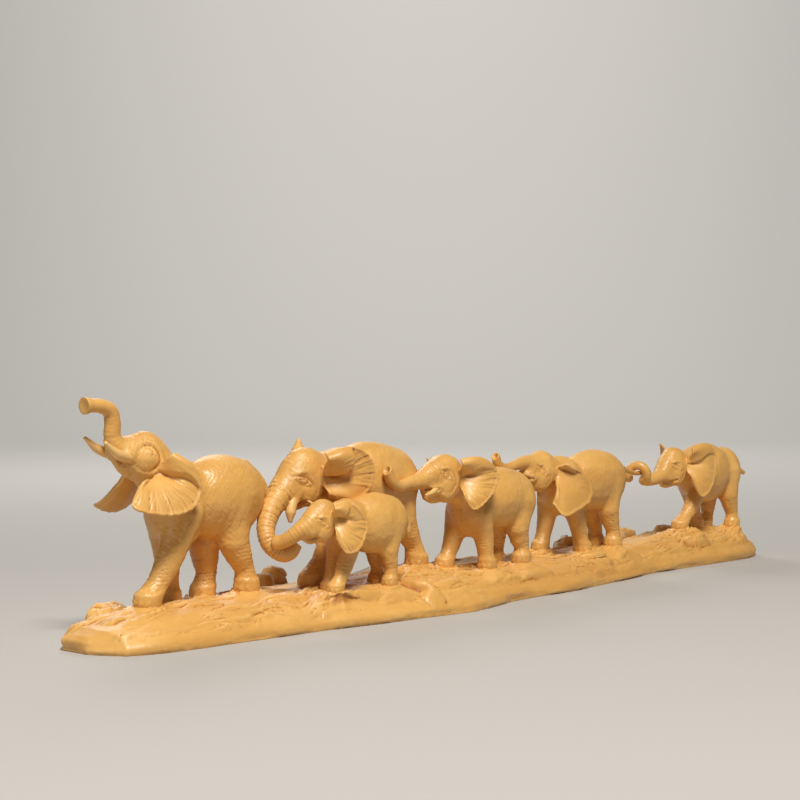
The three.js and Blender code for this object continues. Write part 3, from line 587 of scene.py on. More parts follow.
def carried_axes(chain):
    """Two axes square to the line at each point, carried along without twist."""
    runs = np.gradient(chain[:, :3], axis=0)
    runs /= np.linalg.norm(runs, axis=1)[:, None]
    side = np.cross(runs[0], [0.0, 0.31, 1.0])
    sides = []
    for run in runs:
        side = side - run * (side @ run)
        side /= np.linalg.norm(side)
        sides.append(side)
    sides = np.array(sides)
    return runs, sides, np.cross(runs, sides)


def rod_shell(bm, chain, segments=20, round_ends=True):
    """A closed round bar along a chain of (x, y, z, radius), as a cone cut into rings."""
    steps = len(chain) - 1
    bar = bmesh.new()
    bmesh.ops.create_cone(bar, cap_ends=True, segments=segments, radius1=1, radius2=1, depth=1)
    edges = [e for e in bar.edges if abs(e.verts[0].co.z - e.verts[1].co.z) > 0.5]
    bmesh.ops.subdivide_edges(bar, edges=edges, cuts=steps - 1)
    _, sides, ups = carried_axes(chain)
    for v in bar.verts:
        row = int(round((v.co.z + 0.5) * steps))
        reach = chain[row, 3]
        v.co = chain[row, :3] + sides[row] * v.co.x * reach + ups[row] * v.co.y * reach
    if round_ends:
        for end in (chain[0], chain[-1]):
            egg_shell(bar, end[:3], np.full(3, end[3] * 0.98), np.eye(3))
    mesh = mesh_from(bar, "bar")
    bar.free()
    bm.from_mesh(mesh)
    bpy.data.meshes.remove(mesh)


def drum_shell(bm, sole, sizes):
    ankle, foot, height = sizes
    middle = Matrix.Translation((sole[0], sole[1], sole[2] + (height - FOOT_SINK) / 2))
    bmesh.ops.create_cone(bm, cap_ends=True, segments=32, radius1=foot, radius2=ankle,
                          depth=height + FOOT_SINK, matrix=middle)


# %% [markdown]
# A mesh hands its points over as one table, which is quick to work on, and takes them back.
# Remeshing and smoothing are Blender's own modifiers, worked through at once.


# %% Getting points in and out of a mesh
def points_of(mesh):
    flat = np.empty(len(mesh.vertices) * 3, np.float32)
    mesh.vertices.foreach_get("co", flat)
    return flat.reshape(-1, 3)


def put_points(mesh, points):
    mesh.vertices.foreach_set("co", np.ascontiguousarray(points, np.float32).ravel())
    mesh.update()


def normals_of(mesh):
    flat = np.empty(len(mesh.vertices) * 3, np.float32)
    mesh.vertex_normals.foreach_get("vector", flat)
    return flat.reshape(-1, 3).astype(float)


def worked(mesh, kind, **settings):
    """A new mesh: the old one with one modifier worked through."""
    holder = placed("on_the_bench", mesh)
    step = holder.modifiers.new("step", kind)
    for key, value in settings.items():
        setattr(step, key, value)
    graph = bpy.context.evaluated_depsgraph_get()
    done = bpy.data.meshes.new_from_object(holder.evaluated_get(graph))
    bpy.data.objects.remove(holder)
    return done


# %% [markdown]
# ## Ears
#
# An ear is a thin sheet between its hinge on the skull and its rim. The carver folds its top
# edge outward and cuts shallow flutes that fan out towards the rim. The sheet is a grid bent
# to the two lines, raised by the fold and the flutes, and extruded inwards to its thickness.


# %% The relief on an ear
def soft_step(low, high, value):
    """From 0 at low to 1 at high, with soft ends."""
    share = np.clip((value - low) / (high - low), 0, 1)
    return share * share * (3 - 2 * share)


def bump(value, middle, width):
    """1 at the middle, falling softly away on both sides."""
    return np.exp(-((value - middle) / width) ** 2)


def ear_relief(top, out, ear):
    """Height of the carved relief on the outer face, mm: top is 0 to 1 down, out 0 to 1."""
    edge, lift = ear["fold"]
    centre, wide = ear.get("roll", (0.55, 0.75))
    wavy = edge * (1 + 0.09 * np.sin(out * 6.0 + 0.6))
    wavy = wavy * (1 - ear.get("taper", 0.0) * soft_step(0.35, 1.0, out))
    inside = 1 - soft_step(wavy - 0.03, wavy, top)
    arch = np.sqrt(np.clip(1 - ((top - edge * 0.42) / (edge * 0.66)) ** 2, 0, 1))
    across = np.clip(1 - ((out - centre) / wide) ** 2, 0, 1) ** 0.8
    fold = inside * lift * (0.30 + 0.70 * arch) * across
    spokes = top * 19 + 0.8 * np.sin(out * 3 + top * 9)
    crease = (1 - np.abs(np.sin(np.pi * spokes))) ** 1.6
    rear = soft_step(0.30, 0.62, top / edge) * soft_step(0.30, 0.55, out)
    fold -= inside * ear["creases"] * crease * rear
    ribs = (1 - np.abs(np.sin(np.pi * (out * ear.get("ribs", 0) + 1.3 * top)))) ** 1.6
    fold -= 0.30 * inside * ribs * soft_step(0.0, 0.05, out) if "ribs" in ear else 0.0
    hollow = 1.1 * bump(top, edge + 0.06, 0.06) * (1 - soft_step(0.30, 0.75, out))
    hollow *= soft_step(0.05, 0.2, out)
    count, depth, low, high = ear["flutes"]
    share = np.clip((top - low) / (high - low), 0, 1)
    turn = share * count + 0.30 * np.sin(2.9 * share * count + 1.0) + 0.16 * np.sin(9 * out)
    ridge = np.abs(np.sin(np.pi * turn)) ** 0.7
    finer = np.abs(np.sin(np.pi * (turn * 2.3 + 0.4))) ** 0.8
    uneven = 0.62 + 0.38 * np.sin(2.1 * turn + 0.7)
    flute = ((ridge - 0.62) * uneven + 0.30 * (finer - 0.6)) * depth * 1.7
    flute *= soft_step(0.22, 0.75, out) * (1 - 0.4 * soft_step(0.9, 1.0, out))
    flute *= soft_step(low - 0.01, low + 0.05, top) * (1 - soft_step(high - 0.05, high, top))
    bead = 0.55 * soft_step(0.90, 0.98, out) * (1 - inside)
    front = 0.7 * soft_step(0.90, 0.97, top) * soft_step(0.15, 0.4, out)
    return fold + flute + bead + front - hollow


def ear_shell(bm, name, ear):
    """One ear as a closed shell, in its animal's own millimetres."""
    size = HERD[name]["height"]
    hinge = np.array(ear["hinge"]) * size
    rim = np.array(ear["rim"]) * size
    side = np.sign(hinge[0, 1])
    down = hinge[1] - hinge[0]
    outward = curve_at(rim, [0.5])[0] - hinge[0]
    face = np.cross(down, outward)
    face /= np.linalg.norm(face)
    sheet = bmesh.ops.create_grid(bm, x_segments=110, y_segments=48, size=0.5)["verts"]
    flat = np.array([v.co for v in sheet])
    top, out = flat[:, 0] + 0.5, flat[:, 1] + 0.5
    count, _, low, high = ear["flutes"]
    scallop = 0.016 * np.abs(np.sin(np.pi * count * np.clip((top - low) / (high - low), 0, 1)))
    reach = (out * (1 + scallop * soft_step(0.6, 1.0, out)))[:, None]
    root = hinge[0] + top[:, None] * down
    place = root + (curve_at(rim, top) - root) * reach
    place += face * (ear["cup"] * size * np.sin(np.pi * np.clip(reach, 0, 1)))
    outer = face if face[1] * side > 0 else -face
    thick = 2.0 - 0.7 * out
    lifted = place + outer * (thick / 2 + ear_relief(top, out, ear))[:, None]
    for v, spot in zip(sheet, lifted):
        v.co = spot
    faces = list({f for v in sheet for f in v.link_faces})
    under = (place - outer * (thick / 2)[:, None]) + outer * (0.75 * ear_relief(
        top, out, {**ear, "creases": 0.0, "flutes": (count, 0.0, low, high)}).clip(0) *
        soft_step(0.15, 0.5, out))[:, None]
    lookup = {tuple(np.round(np.array(v.co), 4)): i for i, v in enumerate(sheet)}
    grown = bmesh.ops.extrude_face_region(bm, geom=faces)["geom"]
    for v in (g for g in grown if isinstance(g, bmesh.types.BMVert)):
        v.co = under[lookup[tuple(np.round(np.array(v.co), 4))]]
    return sheet


# %% [markdown]
# ## Carved detail
#
# On the finished skin the knife goes to work: rings round the trunk, wrinkles round the legs,
# folds on the flank, eyes with their lids, the mouth, toenails and fine skin. Each one is a
# height above or below the skin, worked out from the place of the point on the animal, so
# all of it ends up as real geometry.


# %% Soft random hills
def cell_code(cell):
    """One whole number for each cell of space, the same on every run."""
    return (cell[:, 0] * 73856093) ^ (cell[:, 1] * 19349663) ^ (cell[:, 2] * 83492791)


def stirred(code):
    return (code * 1103515245 + 12345) & 0x7FFFFFFF


def hills(points, size, seed=0):
    """Soft random heights from -1 to 1, about size apart, the same on every run."""
    spread = points / size + seed * 17.37
    cell = np.floor(spread).astype(np.int64)
    part = spread - cell
    part = part * part * (3 - 2 * part)
    total = np.zeros(len(points))
    for corner in range(8):
        step = np.array([corner & 1, corner >> 1 & 1, corner >> 2 & 1])
        mix = stirred(cell_code(cell + step))
        mix = ((mix >> 7) * 69069 + 1) & 0xFFFFFF
        weight = np.prod(np.where(step, part, 1 - part), axis=1)
        total += weight * (mix / 0x7FFFFF - 1)
    return total


def chips(points, size, seed=0):
    """Flat chisel cuts about size apart: each cut is a small tilted plane, -1 to 1."""
    spread = points / size + seed * 11.7
    cell = np.floor(spread).astype(np.int64)
    nearest = np.full(len(points), 99.0)
    height = np.zeros(len(points))
    for corner in range(27):
        step = np.array([corner % 3 - 1, corner // 3 % 3 - 1, corner // 9 - 1])
        c = cell + step
        code = cell_code(c)
        parts = []
        for _ in range(6):
            code = stirred(code)
            parts.append((code >> 8) / 0x7FFFFF)
        away = spread - c - np.stack(parts[:3], axis=1)
        far = np.sum(away ** 2, axis=1)
        tilt = (parts[3] - 0.5) * away[:, 0] + (parts[4] - 0.5) * away[:, 1]
        closer = far < nearest
        height = np.where(closer, 2.2 * tilt + parts[5] - 0.5, height)
        nearest = np.minimum(nearest, far)
    return height


def grooves(value, pitch, sharp=2.0):
    """1 along narrow lines that lie pitch apart, 0 between them."""
    return (1 - np.abs(np.sin(np.pi * value / pitch))) ** sharp


# %% [markdown]
# The trunk's rings follow its own line, so they stay square to it round every bend. Those on
# the legs run level, in patches, above four toenails.


# %% Rings on trunk and legs
def ring_relief(name, own):
    """Rings across the trunk, strongest on its upper side."""
    rings = HERD[name]["rings"]
    chain = flowing(trunk_line(name), 60)
    away, along = rod_distance(own, chain)
    steps = np.linalg.norm(np.diff(chain[:, :3], axis=0), axis=1)
    length = np.concatenate([[0], np.cumsum(steps)])
    travelled = np.interp(along * (len(chain) - 1), np.arange(len(chain)), length)
    total = length[-1]
    share = travelled / total
    on_trunk = 1 - soft_step(0.35, 1.1, away)
    where = soft_step(rings["start"] - 0.06, rings["start"] + 0.03, share)
    where *= 1 - soft_step(rings["end"] - 0.04, rings["end"] + 0.08, share)
    wander = 0.35 * hills(own, 3.2, 3) + 0.25 * hills(own, 7.0, 4)
    lines = grooves(travelled + wander, rings["pitch"] * (1.15 - 0.35 * share), 1.4)
    strength = 0.75 + 0.35 * hills(own, 4.0, 5)
    relief = -rings["depth"] * lines * where * on_trunk * strength
    return relief, on_trunk * soft_step(0.25, 0.3, share)


def leg_relief(name, own):
    """Wrinkles across the lower legs, a soft knee, and nails round the front of each sole."""
    animal = HERD[name]
    size = animal["height"]
    relief = np.zeros(len(own))
    for index, foot in enumerate(animal["feet"].values()):
        sole = np.array(foot) * size
        rise = (own[:, 2] - sole[2]) / size
        dx, dy = own[:, 0] - sole[0], own[:, 1] - sole[1]
        lean = np.hypot(dx, dy) / size
        close = (1 - soft_step(0.13, 0.20, lean)) * (rise < 0.42)
        wander = 1.0 * hills(own, 5.0, 11 + index) + 0.5 * hills(own, 2.2, 15 + index)
        lines = grooves(own[:, 2] + wander + 0.12 * dx, 1.75, 1.6)
        patch = soft_step(-0.25, 0.45, hills(own, 9.0, 21 + index))
        span = soft_step(0.07, 0.12, rise) * (1 - soft_step(0.30, 0.40, rise))
        relief -= 0.27 * lines * patch * span * close
        angle = np.arctan2(dy, dx)
        nails = np.zeros(len(own))
        for turn in (-0.95, -0.32, 0.32, 0.95):
            off = (angle - turn + math.pi) % (2 * math.pi) - math.pi
            spot = (off / 0.24) ** 2 + ((rise - 0.022) / 0.026) ** 2
            nails = np.maximum(nails, np.clip(1 - spot, 0, 1) ** 0.5)
        relief += 0.32 * nails * (lean < 0.115) * (rise > -0.03)
    return relief


# %% [markdown]
# The face is carved in the head's own frame, so a lifted head carries its eye and mouth with
# it. The eye sits in a hollow under the brow, between two lids that meet in a point.


# %% The face
def head_place(name, own):
    """Points in the head's own frame, in shares of the head."""
    head = HERD[name]["head"]
    local = own / HERD[name]["height"] - np.array(head["at"])
    return local @ head_axes(head) / head["size"]


EYE_HALF = (0.037, 0.0175)
EYE_TILT = 0.32
MOUTH_LINE = [(0.050, -0.135), (0.080, -0.150), (0.125, -0.168), (0.185, -0.188)]
OPEN_MOUTHS = {"leader": 0.5, "fourth": 2.2, "last": 1.4, "third": 0.8}


def eye_relief(place, centre, scale):
    """A hollow under the brow, the ball, its two lids and the bag below, mm."""
    x, z = (place[:, 0] - centre[0]) / scale, (place[:, 2] - centre[1]) / scale
    u = x * math.cos(EYE_TILT) + z * math.sin(EYE_TILT)
    w = -x * math.sin(EYE_TILT) + z * math.cos(EYE_TILT)
    far = np.hypot(u, w)
    if scale < 0.7:
        lid = bump(far, 0.046, 0.013) * soft_step(-0.02, 0.02, w)
        return 0.50 * np.exp(-(far / 0.026) ** 2) - 0.34 * lid
    ring = ((np.abs(u) / EYE_HALF[0]) ** 1.35 + (np.abs(w) / EYE_HALF[1]) ** 2) ** 0.6
    above = soft_step(-0.003, 0.006, w)
    below = 1 - above
    relief = -0.80 * np.exp(-(far / 0.050) ** 2)
    relief += 0.95 * np.sqrt(np.clip(1 - ring ** 2, 0, 1))
    relief += 0.75 * bump(ring, 1.50, 0.30) * above
    relief += 0.45 * bump(ring, 1.45, 0.30) * below
    relief -= 0.28 * bump(ring, 1.02, 0.12) * above
    relief -= 0.42 * bump(ring, 2.25, 0.32) * above
    relief -= 0.22 * bump(ring, 2.40, 0.40) * below
    relief += 0.60 * bump(far, 0.078, 0.020) * soft_step(0.0, 0.06, w)
    return relief * scale ** 0.5


def face_relief(name, own):
    """Eye, cheek, lips, temple and brow lines, mm."""
    size = HERD[name]["height"] * HERD[name]["head"]["size"] / DRAWN_HEIGHT
    place = head_place(name, own)
    side = np.abs(place[:, 1])
    on_face = soft_step(0.055, 0.075, side) * (np.hypot(place[:, 0], place[:, 2]) < 0.30)
    face = HERD[name]["face"]
    relief = eye_relief(place, face["eye"], HERD[name]["eye"])
    cheek = HERD[name]["cheek"]
    round_x, round_z = place[:, 0] - face["cheek"][0], place[:, 2] - face["cheek"][1]
    circle = np.hypot(round_x, round_z * 0.92)
    open_side = 0.35 + 0.65 * soft_step(-0.06, 0.05, round_z - 0.8 * round_x)
    relief += cheek * 0.7 * (1 - soft_step(0.0, 0.080, circle))
    relief -= cheek * 0.70 * bump(circle, 0.086, 0.011) * open_side
    relief += cheek * 0.30 * bump(circle, 0.108, 0.014) * open_side
    mouth = np.array(MOUTH_LINE) + np.array(face["mouth"])
    gap = np.full(len(own), 9.0)
    flat = place[:, [0, 2]]
    for a, b in zip(mouth[:-1], mouth[1:]):
        gap = np.minimum(gap, np.linalg.norm(nearest_on(flat, a, b - a)[1], axis=1))
    jaw = soft_step(0.02, 0.03, side)
    lips = -0.75 * bump(gap, 0, 0.011) + 0.22 * bump(gap, 0.026, 0.010)
    open_wide = OPEN_MOUTHS.get(name, 0.0)
    inside = ((place[:, 0] - 0.135 - face["mouth"][0]) / 0.060) ** 2
    inside = inside + ((place[:, 2] + 0.172 - face["mouth"][1]) / 0.028) ** 2
    lips -= open_wide * np.exp(-inside ** 2) * (place[:, 0] > 0.05)
    temple = np.exp(-((place[:, 0] + 0.015) / 0.045) ** 2 - ((place[:, 2] - 0.085) / 0.05) ** 2)
    relief -= 0.6 * temple
    brow_lines = grooves(place[:, 2] * 67 + 0.5 * hills(own, 4, 51), 2.0, 1.6)
    forehead = soft_step(0.03, 0.08, place[:, 0]) * bump(place[:, 2], 0.12, 0.07)
    brow_marks = 0.16 * HERD[name]["skin"] * brow_lines * forehead
    return (relief * on_face + lips * jaw * (side < 0.14) - brow_marks) * size


def blunt_tip(name, points):
    """Cuts the trunk's tip square and hollows it for the two nostrils."""
    chain = flowing(trunk_line(name), TRUNK_STEPS)
    tip, run = chain[-1, :3], chain[-1, :3] - chain[-3, :3]
    run = run / np.linalg.norm(run)
    radius = chain[-1, 3]
    slanted = name in ("third", "fourth", "last")
    cut = radius * (0.05 if name == "leader" else 0.25 if slanted else 0.50)
    if slanted:
        run = run + np.array([1.1, 0, 0])
        run = run / np.linalg.norm(run)
    away = points - tip
    ahead = away @ run
    out = np.linalg.norm(away - ahead[:, None] * run, axis=1) / radius
    near = (np.linalg.norm(away, axis=1) < 1.8 * radius) & (ahead > -0.4 * radius)
    move = np.where(near, np.maximum(ahead - cut, 0), 0)
    dish = np.where(near & (ahead > cut * 0.4), np.clip(1 - (out / 0.72) ** 2, 0, 1), 0)
    depth = 0.08 if name == "leader" else 0.55 if slanted else 0.32
    return points - run * (move + depth * radius * dish)[:, None]


def skin_relief(name, own, normal):
    """Folds on the flank and fine crossing wrinkles all over."""
    animal = HERD[name]
    size, skin = animal["height"], animal["skin"]
    share = own / size
    body = animal["body"]
    flank = bump(share[:, 0], body["rump"] + 0.40, 0.13) * bump(share[:, 2], body["belly"] + 0.13, 0.13)
    flank *= soft_step(0.4, 0.8, np.abs(normal[:, 1]))
    folds = grooves(own[:, 0] + 1.2 * hills(own, 8, 31) + 0.25 * own[:, 2], 4.2, 2.0)
    relief = -0.34 * flank * folds * (0.6 + 0.5 * hills(own, 6, 53))
    shoulder = bump(share[:, 0], body["chest"] - 0.10, 0.10) * bump(share[:, 2], 0.60, 0.16)
    relief -= 0.25 * shoulder * grooves(own[:, 0] + 0.5 * own[:, 2] + hills(own, 7, 32), 3.8, 2.0)
    one = grooves(own[:, 0] * 0.8 + own[:, 2] * 0.6 + 0.9 * hills(own, 2.6, 33), 1.55, 1.5)
    two = grooves(own[:, 0] * 0.7 - own[:, 2] * 0.7 + 0.9 * hills(own, 2.9, 34), 1.65, 1.5)
    relief -= (0.04 + 0.08 * skin) * (one + two)
    relief += 0.14 * hills(own, 3.4, 35) + 0.10 * hills(own, 1.5, 36)
    relief += 0.22 * hills(own, 9.0, 37)
    return relief


# %% [markdown]
# ## From masses to a carved animal
#
# The shells are fused by a voxel remesh. Each point of the fused skin is then drawn onto the clay
# surface, or onto the ear where the ear is nearer, and the knife work is added last. A second, smoothed
# copy of the skin shows where it is hollow and where it stands out. The depth is kept as attributes for
# the material: wax in the fine cuts, painted shade in the broad dips and a painted highlight on the
# crests.


# %% Draw the fused skin onto the clay surface
def draw_to_clay(points, parts, rounds=3):
    """Points moved down the slope onto the clay."""
    for _ in range(rounds):
        here = clay_distance(points, parts)
        step = 0.05
        slope = np.stack([clay_distance(points + step * axis, parts) - here
                          for axis in np.eye(3)], axis=1) / step
        steep = np.maximum(np.sum(slope ** 2, axis=1), 0.25)
        move = slope * (here / steep)[:, None]
        longest = np.maximum(np.linalg.norm(move, axis=1), 1e-9)
        points = points - move * np.minimum(1, 1.5 / longest)[:, None]
    return points


def hollows(mesh):
    """How hollow the skin is at each point: fine grooves and broad dips, mm."""
    points, normal = points_of(mesh), normals_of(mesh)
    found = []
    for rounds in (5, 40):
        smooth = worked(mesh, "SMOOTH", factor=0.5, iterations=rounds)
        found.append(np.sum((points_of(smooth) - points) * normal, axis=1))
        bpy.data.meshes.remove(smooth)
    return found


def keep_attribute(mesh, label, values):
    layer = mesh.attributes.new(label, "FLOAT", "POINT")
    layer.data.foreach_set("value", np.ascontiguousarray(values, np.float32))


def keep_hollows(mesh, kind, fine, broad):
    # The fine hollows become wax in the material and the fine crests a painted highlight; the broad
    # hollows become painted shade.
    full_fine, full_broad = HOLLOW_FOR_FULL_WAX_AND_SHADE[kind]
    keep_attribute(mesh, "fine_hollow", np.clip(fine / full_fine, -1, 1))
    keep_attribute(mesh, "broad_painted_shade", np.clip(broad / full_broad, -1, 1))


def as_piece(label, mesh):
    """The worked mesh, smooth shaded, as an object."""
    mesh.polygons.foreach_set("use_smooth", np.ones(len(mesh.polygons), bool))
    return placed(label, mesh)


# %% Carve one animal
# How deep a hollow must be for full wax (fine) and for full painted shade (broad), mm.
HOLLOW_FOR_FULL_WAX_AND_SHADE = {"animal": (0.13, 0.7), "ground": (0.22, 1.2)}  # hollow that counts as full, mm
VOXEL = {"leader": 0.53, "mother": 0.54, "calf": 0.38, "third": 0.46, "fourth": 0.47,
         "last": 0.46}


def carve(name):
    """One whole animal, from its masses to a finished piece."""
    parts = masses(name)
    bm = bmesh.new()
    for kind, first, second, axes, _ in parts:
        if kind == "egg":
            egg_shell(bm, first, second, axes)
        elif kind == "rod":
            rod_shell(bm, first)
        else:
            drum_shell(bm, first, second)
    ears = bmesh.new()
    for ear in HERD[name]["ears"]:
        ear_shell(ears, name, ear)
    bmesh.ops.recalc_face_normals(ears, faces=ears.faces)
    bm.from_mesh(mesh_from(ears, "ears"))
    bmesh.ops.recalc_face_normals(bm, faces=bm.faces)
    rough = mesh_from(bm, "rough")
    voxel = VOXEL[name] * 1
    mesh = worked(rough, "REMESH", mode="VOXEL", voxel_size=voxel, use_smooth_shade=True)
    points = points_of(mesh)
    tree = BVHTree.FromBMesh(ears)
    near_ear = [tree.find_nearest(Vector(p), 2.5) for p in points]
    ear_gap = np.array([hit[3] if hit[3] is not None else 9.0 for hit in near_ear])
    on_ear = ear_gap < np.abs(clay_distance(points, parts))
    clay = draw_to_clay(points, parts)
    spots = np.array([tuple(hit[0]) if hit[0] is not None else (0, 0, 0) for hit in near_ear])
    points = np.where(on_ear[:, None], spots, clay)
    put_points(mesh, points)
    smooth = worked(mesh, "SMOOTH", factor=0.5, iterations=3)
    joint = (ear_gap < 2.0) & (np.abs(clay_distance(points, parts)) < 1.2)
    points = np.where(joint[:, None], points_of(smooth), points)
    points = blunt_tip(name, points)
    put_points(mesh, points)
    normal = normals_of(mesh)
    relief, on_trunk = ring_relief(name, points)
    off_ear = soft_step(0.3, 1.2, ear_gap)
    body_only = (1 - on_trunk) * off_ear
    relief += leg_relief(name, points) * off_ear
    relief += face_relief(name, points) * (1 - 0.9 * on_trunk) * off_ear
    relief += skin_relief(name, points, normal) * (0.25 + 0.75 * body_only)
    points = points + normal * relief[:, None]
    put_points(mesh, points)
    mesh = worked(mesh, "SMOOTH", factor=0.25, iterations=1)
    fine, broad = hollows(mesh)
    own = points_of(mesh)
    put_points(mesh, to_world(name, own) * MM)
    keep_hollows(mesh, "animal", fine, broad)
    piece = as_piece(f"carved_{name}", mesh)
    ears.free()
    bm.free()
    print(f"carved {name:7s} {len(mesh.polygons):6d} faces at {time.time() - started:5.1f} s")
    return piece


CARVED = {name: carve(name) for name in HERD}


# %% [markdown]
# ## Tusks
#
# The tusks are turned and bent spikes of paler boxwood, pushed into the cheeks.


# %% Tusks
def tusk(name, side):
    """One tapering spike, its root sunk in the cheek."""
    rows = scaled(name, HERD[name]["tusks"][side])
    inward = rows[0] - rows[1]
    root = rows[0] + inward / np.linalg.norm(inward) * TUSK_SINK
    rows = np.vstack([root, rows])
    thick = np.array(TUSK_SHARES)[:, None] * TUSK_RADIUS * HERD[name]["tusk_width"]
    chain = flowing(np.hstack([rows, thick]), 28)
    bm = bmesh.new()
    rod_shell(bm, chain, segments=28, round_ends=False)
    bmesh.ops.remove_doubles(bm, verts=bm.verts, dist=1e-5)
    bmesh.ops.recalc_face_normals(bm, faces=bm.faces)
    mesh = mesh_from(bm, f"{name}_{side}_tusk")
    bm.free()
    own = points_of(mesh)
    along = rod_distance(own, chain)[1]
    normal = normals_of(mesh)
    own += normal * (0.06 * hills(own, 2.2, 61))[:, None]
    put_points(mesh, to_world(name, own) * MM)
    keep_attribute(mesh, "fine_hollow", np.zeros(len(own)))
    # Painted shade near the root, where the tusk goes into the cheek.
    keep_attribute(mesh, "broad_painted_shade", np.clip(0.7 - 3.2 * along, 0, 1))
    return as_piece(f"spike_{name}_{side}", mesh)


TUSKS = {(name, side): tusk(name, side) for name in HERD for side in HERD[name]["tusks"]}
print("tusks:", len(TUSKS))

# %% [markdown]
# ## The ground
#
# The ground is a long low ridge, cut with wide gouges that run down to an upright rim. Its
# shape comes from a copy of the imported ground, so it fits the feet. The copy is remeshed to
# an even net, softened, and carved: flowing gouge lines on the slopes, rubble round the feet.


# %% The earth under the herd
def copied_node(node):
    """A CAD node's mesh as a clean copy, in millimetres."""
    bm = bmesh.new()
    bm.from_mesh(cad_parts[node].data)
    bmesh.ops.remove_doubles(bm, verts=bm.verts, dist=1e-6)
    bmesh.ops.scale(bm, vec=(1 / MM, 1 / MM, 1 / MM), verts=bm.verts)
    mesh = mesh_from(bm, node + "_copy")
    bm.free()
    return mesh


def soles(points):
    """Each sole in world millimetres, its radius, and how far off to the side each point is."""
    for name, animal in HERD.items():
        for foot in animal["feet"].values():
            spot = to_world(name, np.array(foot) * animal["height"])
            away = np.hypot(points[:, 0] - spot[0], points[:, 1] - spot[1])
            yield spot, FOOT_RADIUS * animal["height"], away


ROCKS = [  # x, y, z, half length, half width, half height, turn in degrees
    (-118, 36, 14, 7, 5, 4.0, 20), (-132, 31, 12, 6, 4, 3.2, -30), (105, 20, 16, 9, 6, 4.5, 10),
    (188, 34, 16, 10, 6, 3.6, 15), (219, 24, 16, 9, 6, 3.4, -12),
    (-122, -23, 13.5, 3.5, 2.6, 2.2, 40), (-141, -17, 13.5, 4, 3, 2.2, 0),
    (-234, 26, 11, 12, 9, 4.0, 10), (-224, -4, 12, 7, 5, 2.2, 0), (150, 14, 16, 5, 4, 2.4, 30),
    (40, 22, 15, 8, 5, 2.4, -8)]
WORN_FROM, WORN_HEIGHTS = [250, 257, 260, 265, 273], [30.0, 18.8, 14.0, 10.5, 4.0]
GROUND_VOXEL = 0.86
MOUND_SLOPE = 0.42
RIDGE = [(-83, -16, 16.5), (-80, -28, 16.5), (-83, -38, 13.0)]


def raise_mounds(points):
    """Draws the earth up to each sole, and fades this out on the side walls."""
    upper = points[:, 2] > 4.0
    for spot, radius, away in soles(points):
        slope = spot[2] - 0.1 - MOUND_SLOPE * np.maximum(away - radius - 0.8, 0)
        gain = np.maximum(slope - points[:, 2], 0) * (away < radius + 13)
        gain *= np.where(away < radius + 1.0, upper, soft_step(7.0, 11.5, points[:, 2]))
        points[:, 2] += np.where(points[:, 2] < spot[2] + 0.5, gain, 0)


def gouge_lift(points, top):
    """Long gouges on the slopes and rubble round the feet, mm up."""
    near_feet = np.zeros(len(points))
    for _, radius, away in soles(points):
        near_feet = np.maximum(near_feet, 1 - soft_step(radius + 1, radius + 9, away))
    level = np.zeros(len(points))
    wander = np.stack([hills(points, 14, 40), hills(points, 12, 39), level], axis=1) * 4
    stretched = (points + wander) * np.array([0.15, 1.0, 0.5])
    gouges = np.abs(hills(stretched, 3.4, 41)) + 0.5 * np.abs(hills(stretched, 1.6, 42))
    broad = hills(points * np.array([0.5, 1, 1]), 11.0, 43)
    cuts = chips((points + wander) * np.array([0.22, 0.8, 0.8]), 4.2, 44)
    lift = 1.5 * broad + 2.4 * (gouges - 0.34) + 0.7 * cuts
    rubble = 1.7 * chips(points, 3.3, 45) + 0.8 * chips(points, 1.9, 46) - 0.3
    patchy = soft_step(-0.3, 0.5, hills(points, 16, 38))
    lift += near_feet ** 1.5 * (0.5 + 0.5 * patchy) * rubble
    lift += 0.25 * chips(points, 1.7, 50) * patchy
    return lift * top


def stone_lift(points, top, lift):
    """The lift with every stone standing out of it."""
    for x, y, z, long, wide, high, turn in ROCKS:
        angle = math.radians(turn)
        dx, dy = points[:, 0] - x, points[:, 1] - y
        u = (dx * math.cos(angle) + dy * math.sin(angle)) / long
        v = (-dx * math.sin(angle) + dy * math.cos(angle)) / wide
        shape = np.clip(1 - (np.abs(u) ** 2.4 + np.abs(v) ** 2.4), 0, 1) ** 0.5
        chipped = 1 + 0.32 * chips(points, 4.6, 47) + 0.10 * chips(points, 2.2, 52)
        target = z + high * shape * chipped
        rise = np.where(shape > 0, np.maximum(target - points[:, 2], 0), 0)
        lift = np.maximum(lift, rise * top * soft_step(0.0, 0.12, shape))
    return lift


def ridge_lift(points, top, lift):
    """The lift with the narrow ridge of earth that runs down to the rim."""
    ridge = np.array(RIDGE)
    gap = np.full(len(points), 99.0)
    level = np.zeros(len(points))
    for a, b in zip(ridge[:-1], ridge[1:]):
        t, way = nearest_on(points[:, :2], a[:2], (b - a)[:2])
        away = np.linalg.norm(way, axis=1)
        level = np.where(away < gap, a[2] + t * (b[2] - a[2]), level)
        gap = np.minimum(gap, away)
    crest = level + 2.2 - gap * 0.75
    return np.maximum(lift, np.where(gap < 7, crest - points[:, 2], -9) * top)


def tread_flat(points, lift):
    """The lift kept low under the soles."""
    for _, radius, away in soles(points):
        lift = np.where(away < radius + 1.2, np.clip(lift, -0.8, 0.6), lift)
    return lift


def wear_end(points):
    """The far end is worn down in steps."""
    start = WORN_FROM[0]
    worn = points[:, 0] - 0.12 * points[:, 1] + 1.0 * hills(points, 6.0, 54)
    ceiling = np.interp(worn, WORN_FROM, WORN_HEIGHTS)
    lowered = np.minimum(points[:, 2], ceiling)
    points[:, 2] = np.where(points[:, 0] > start, lowered, points[:, 2])


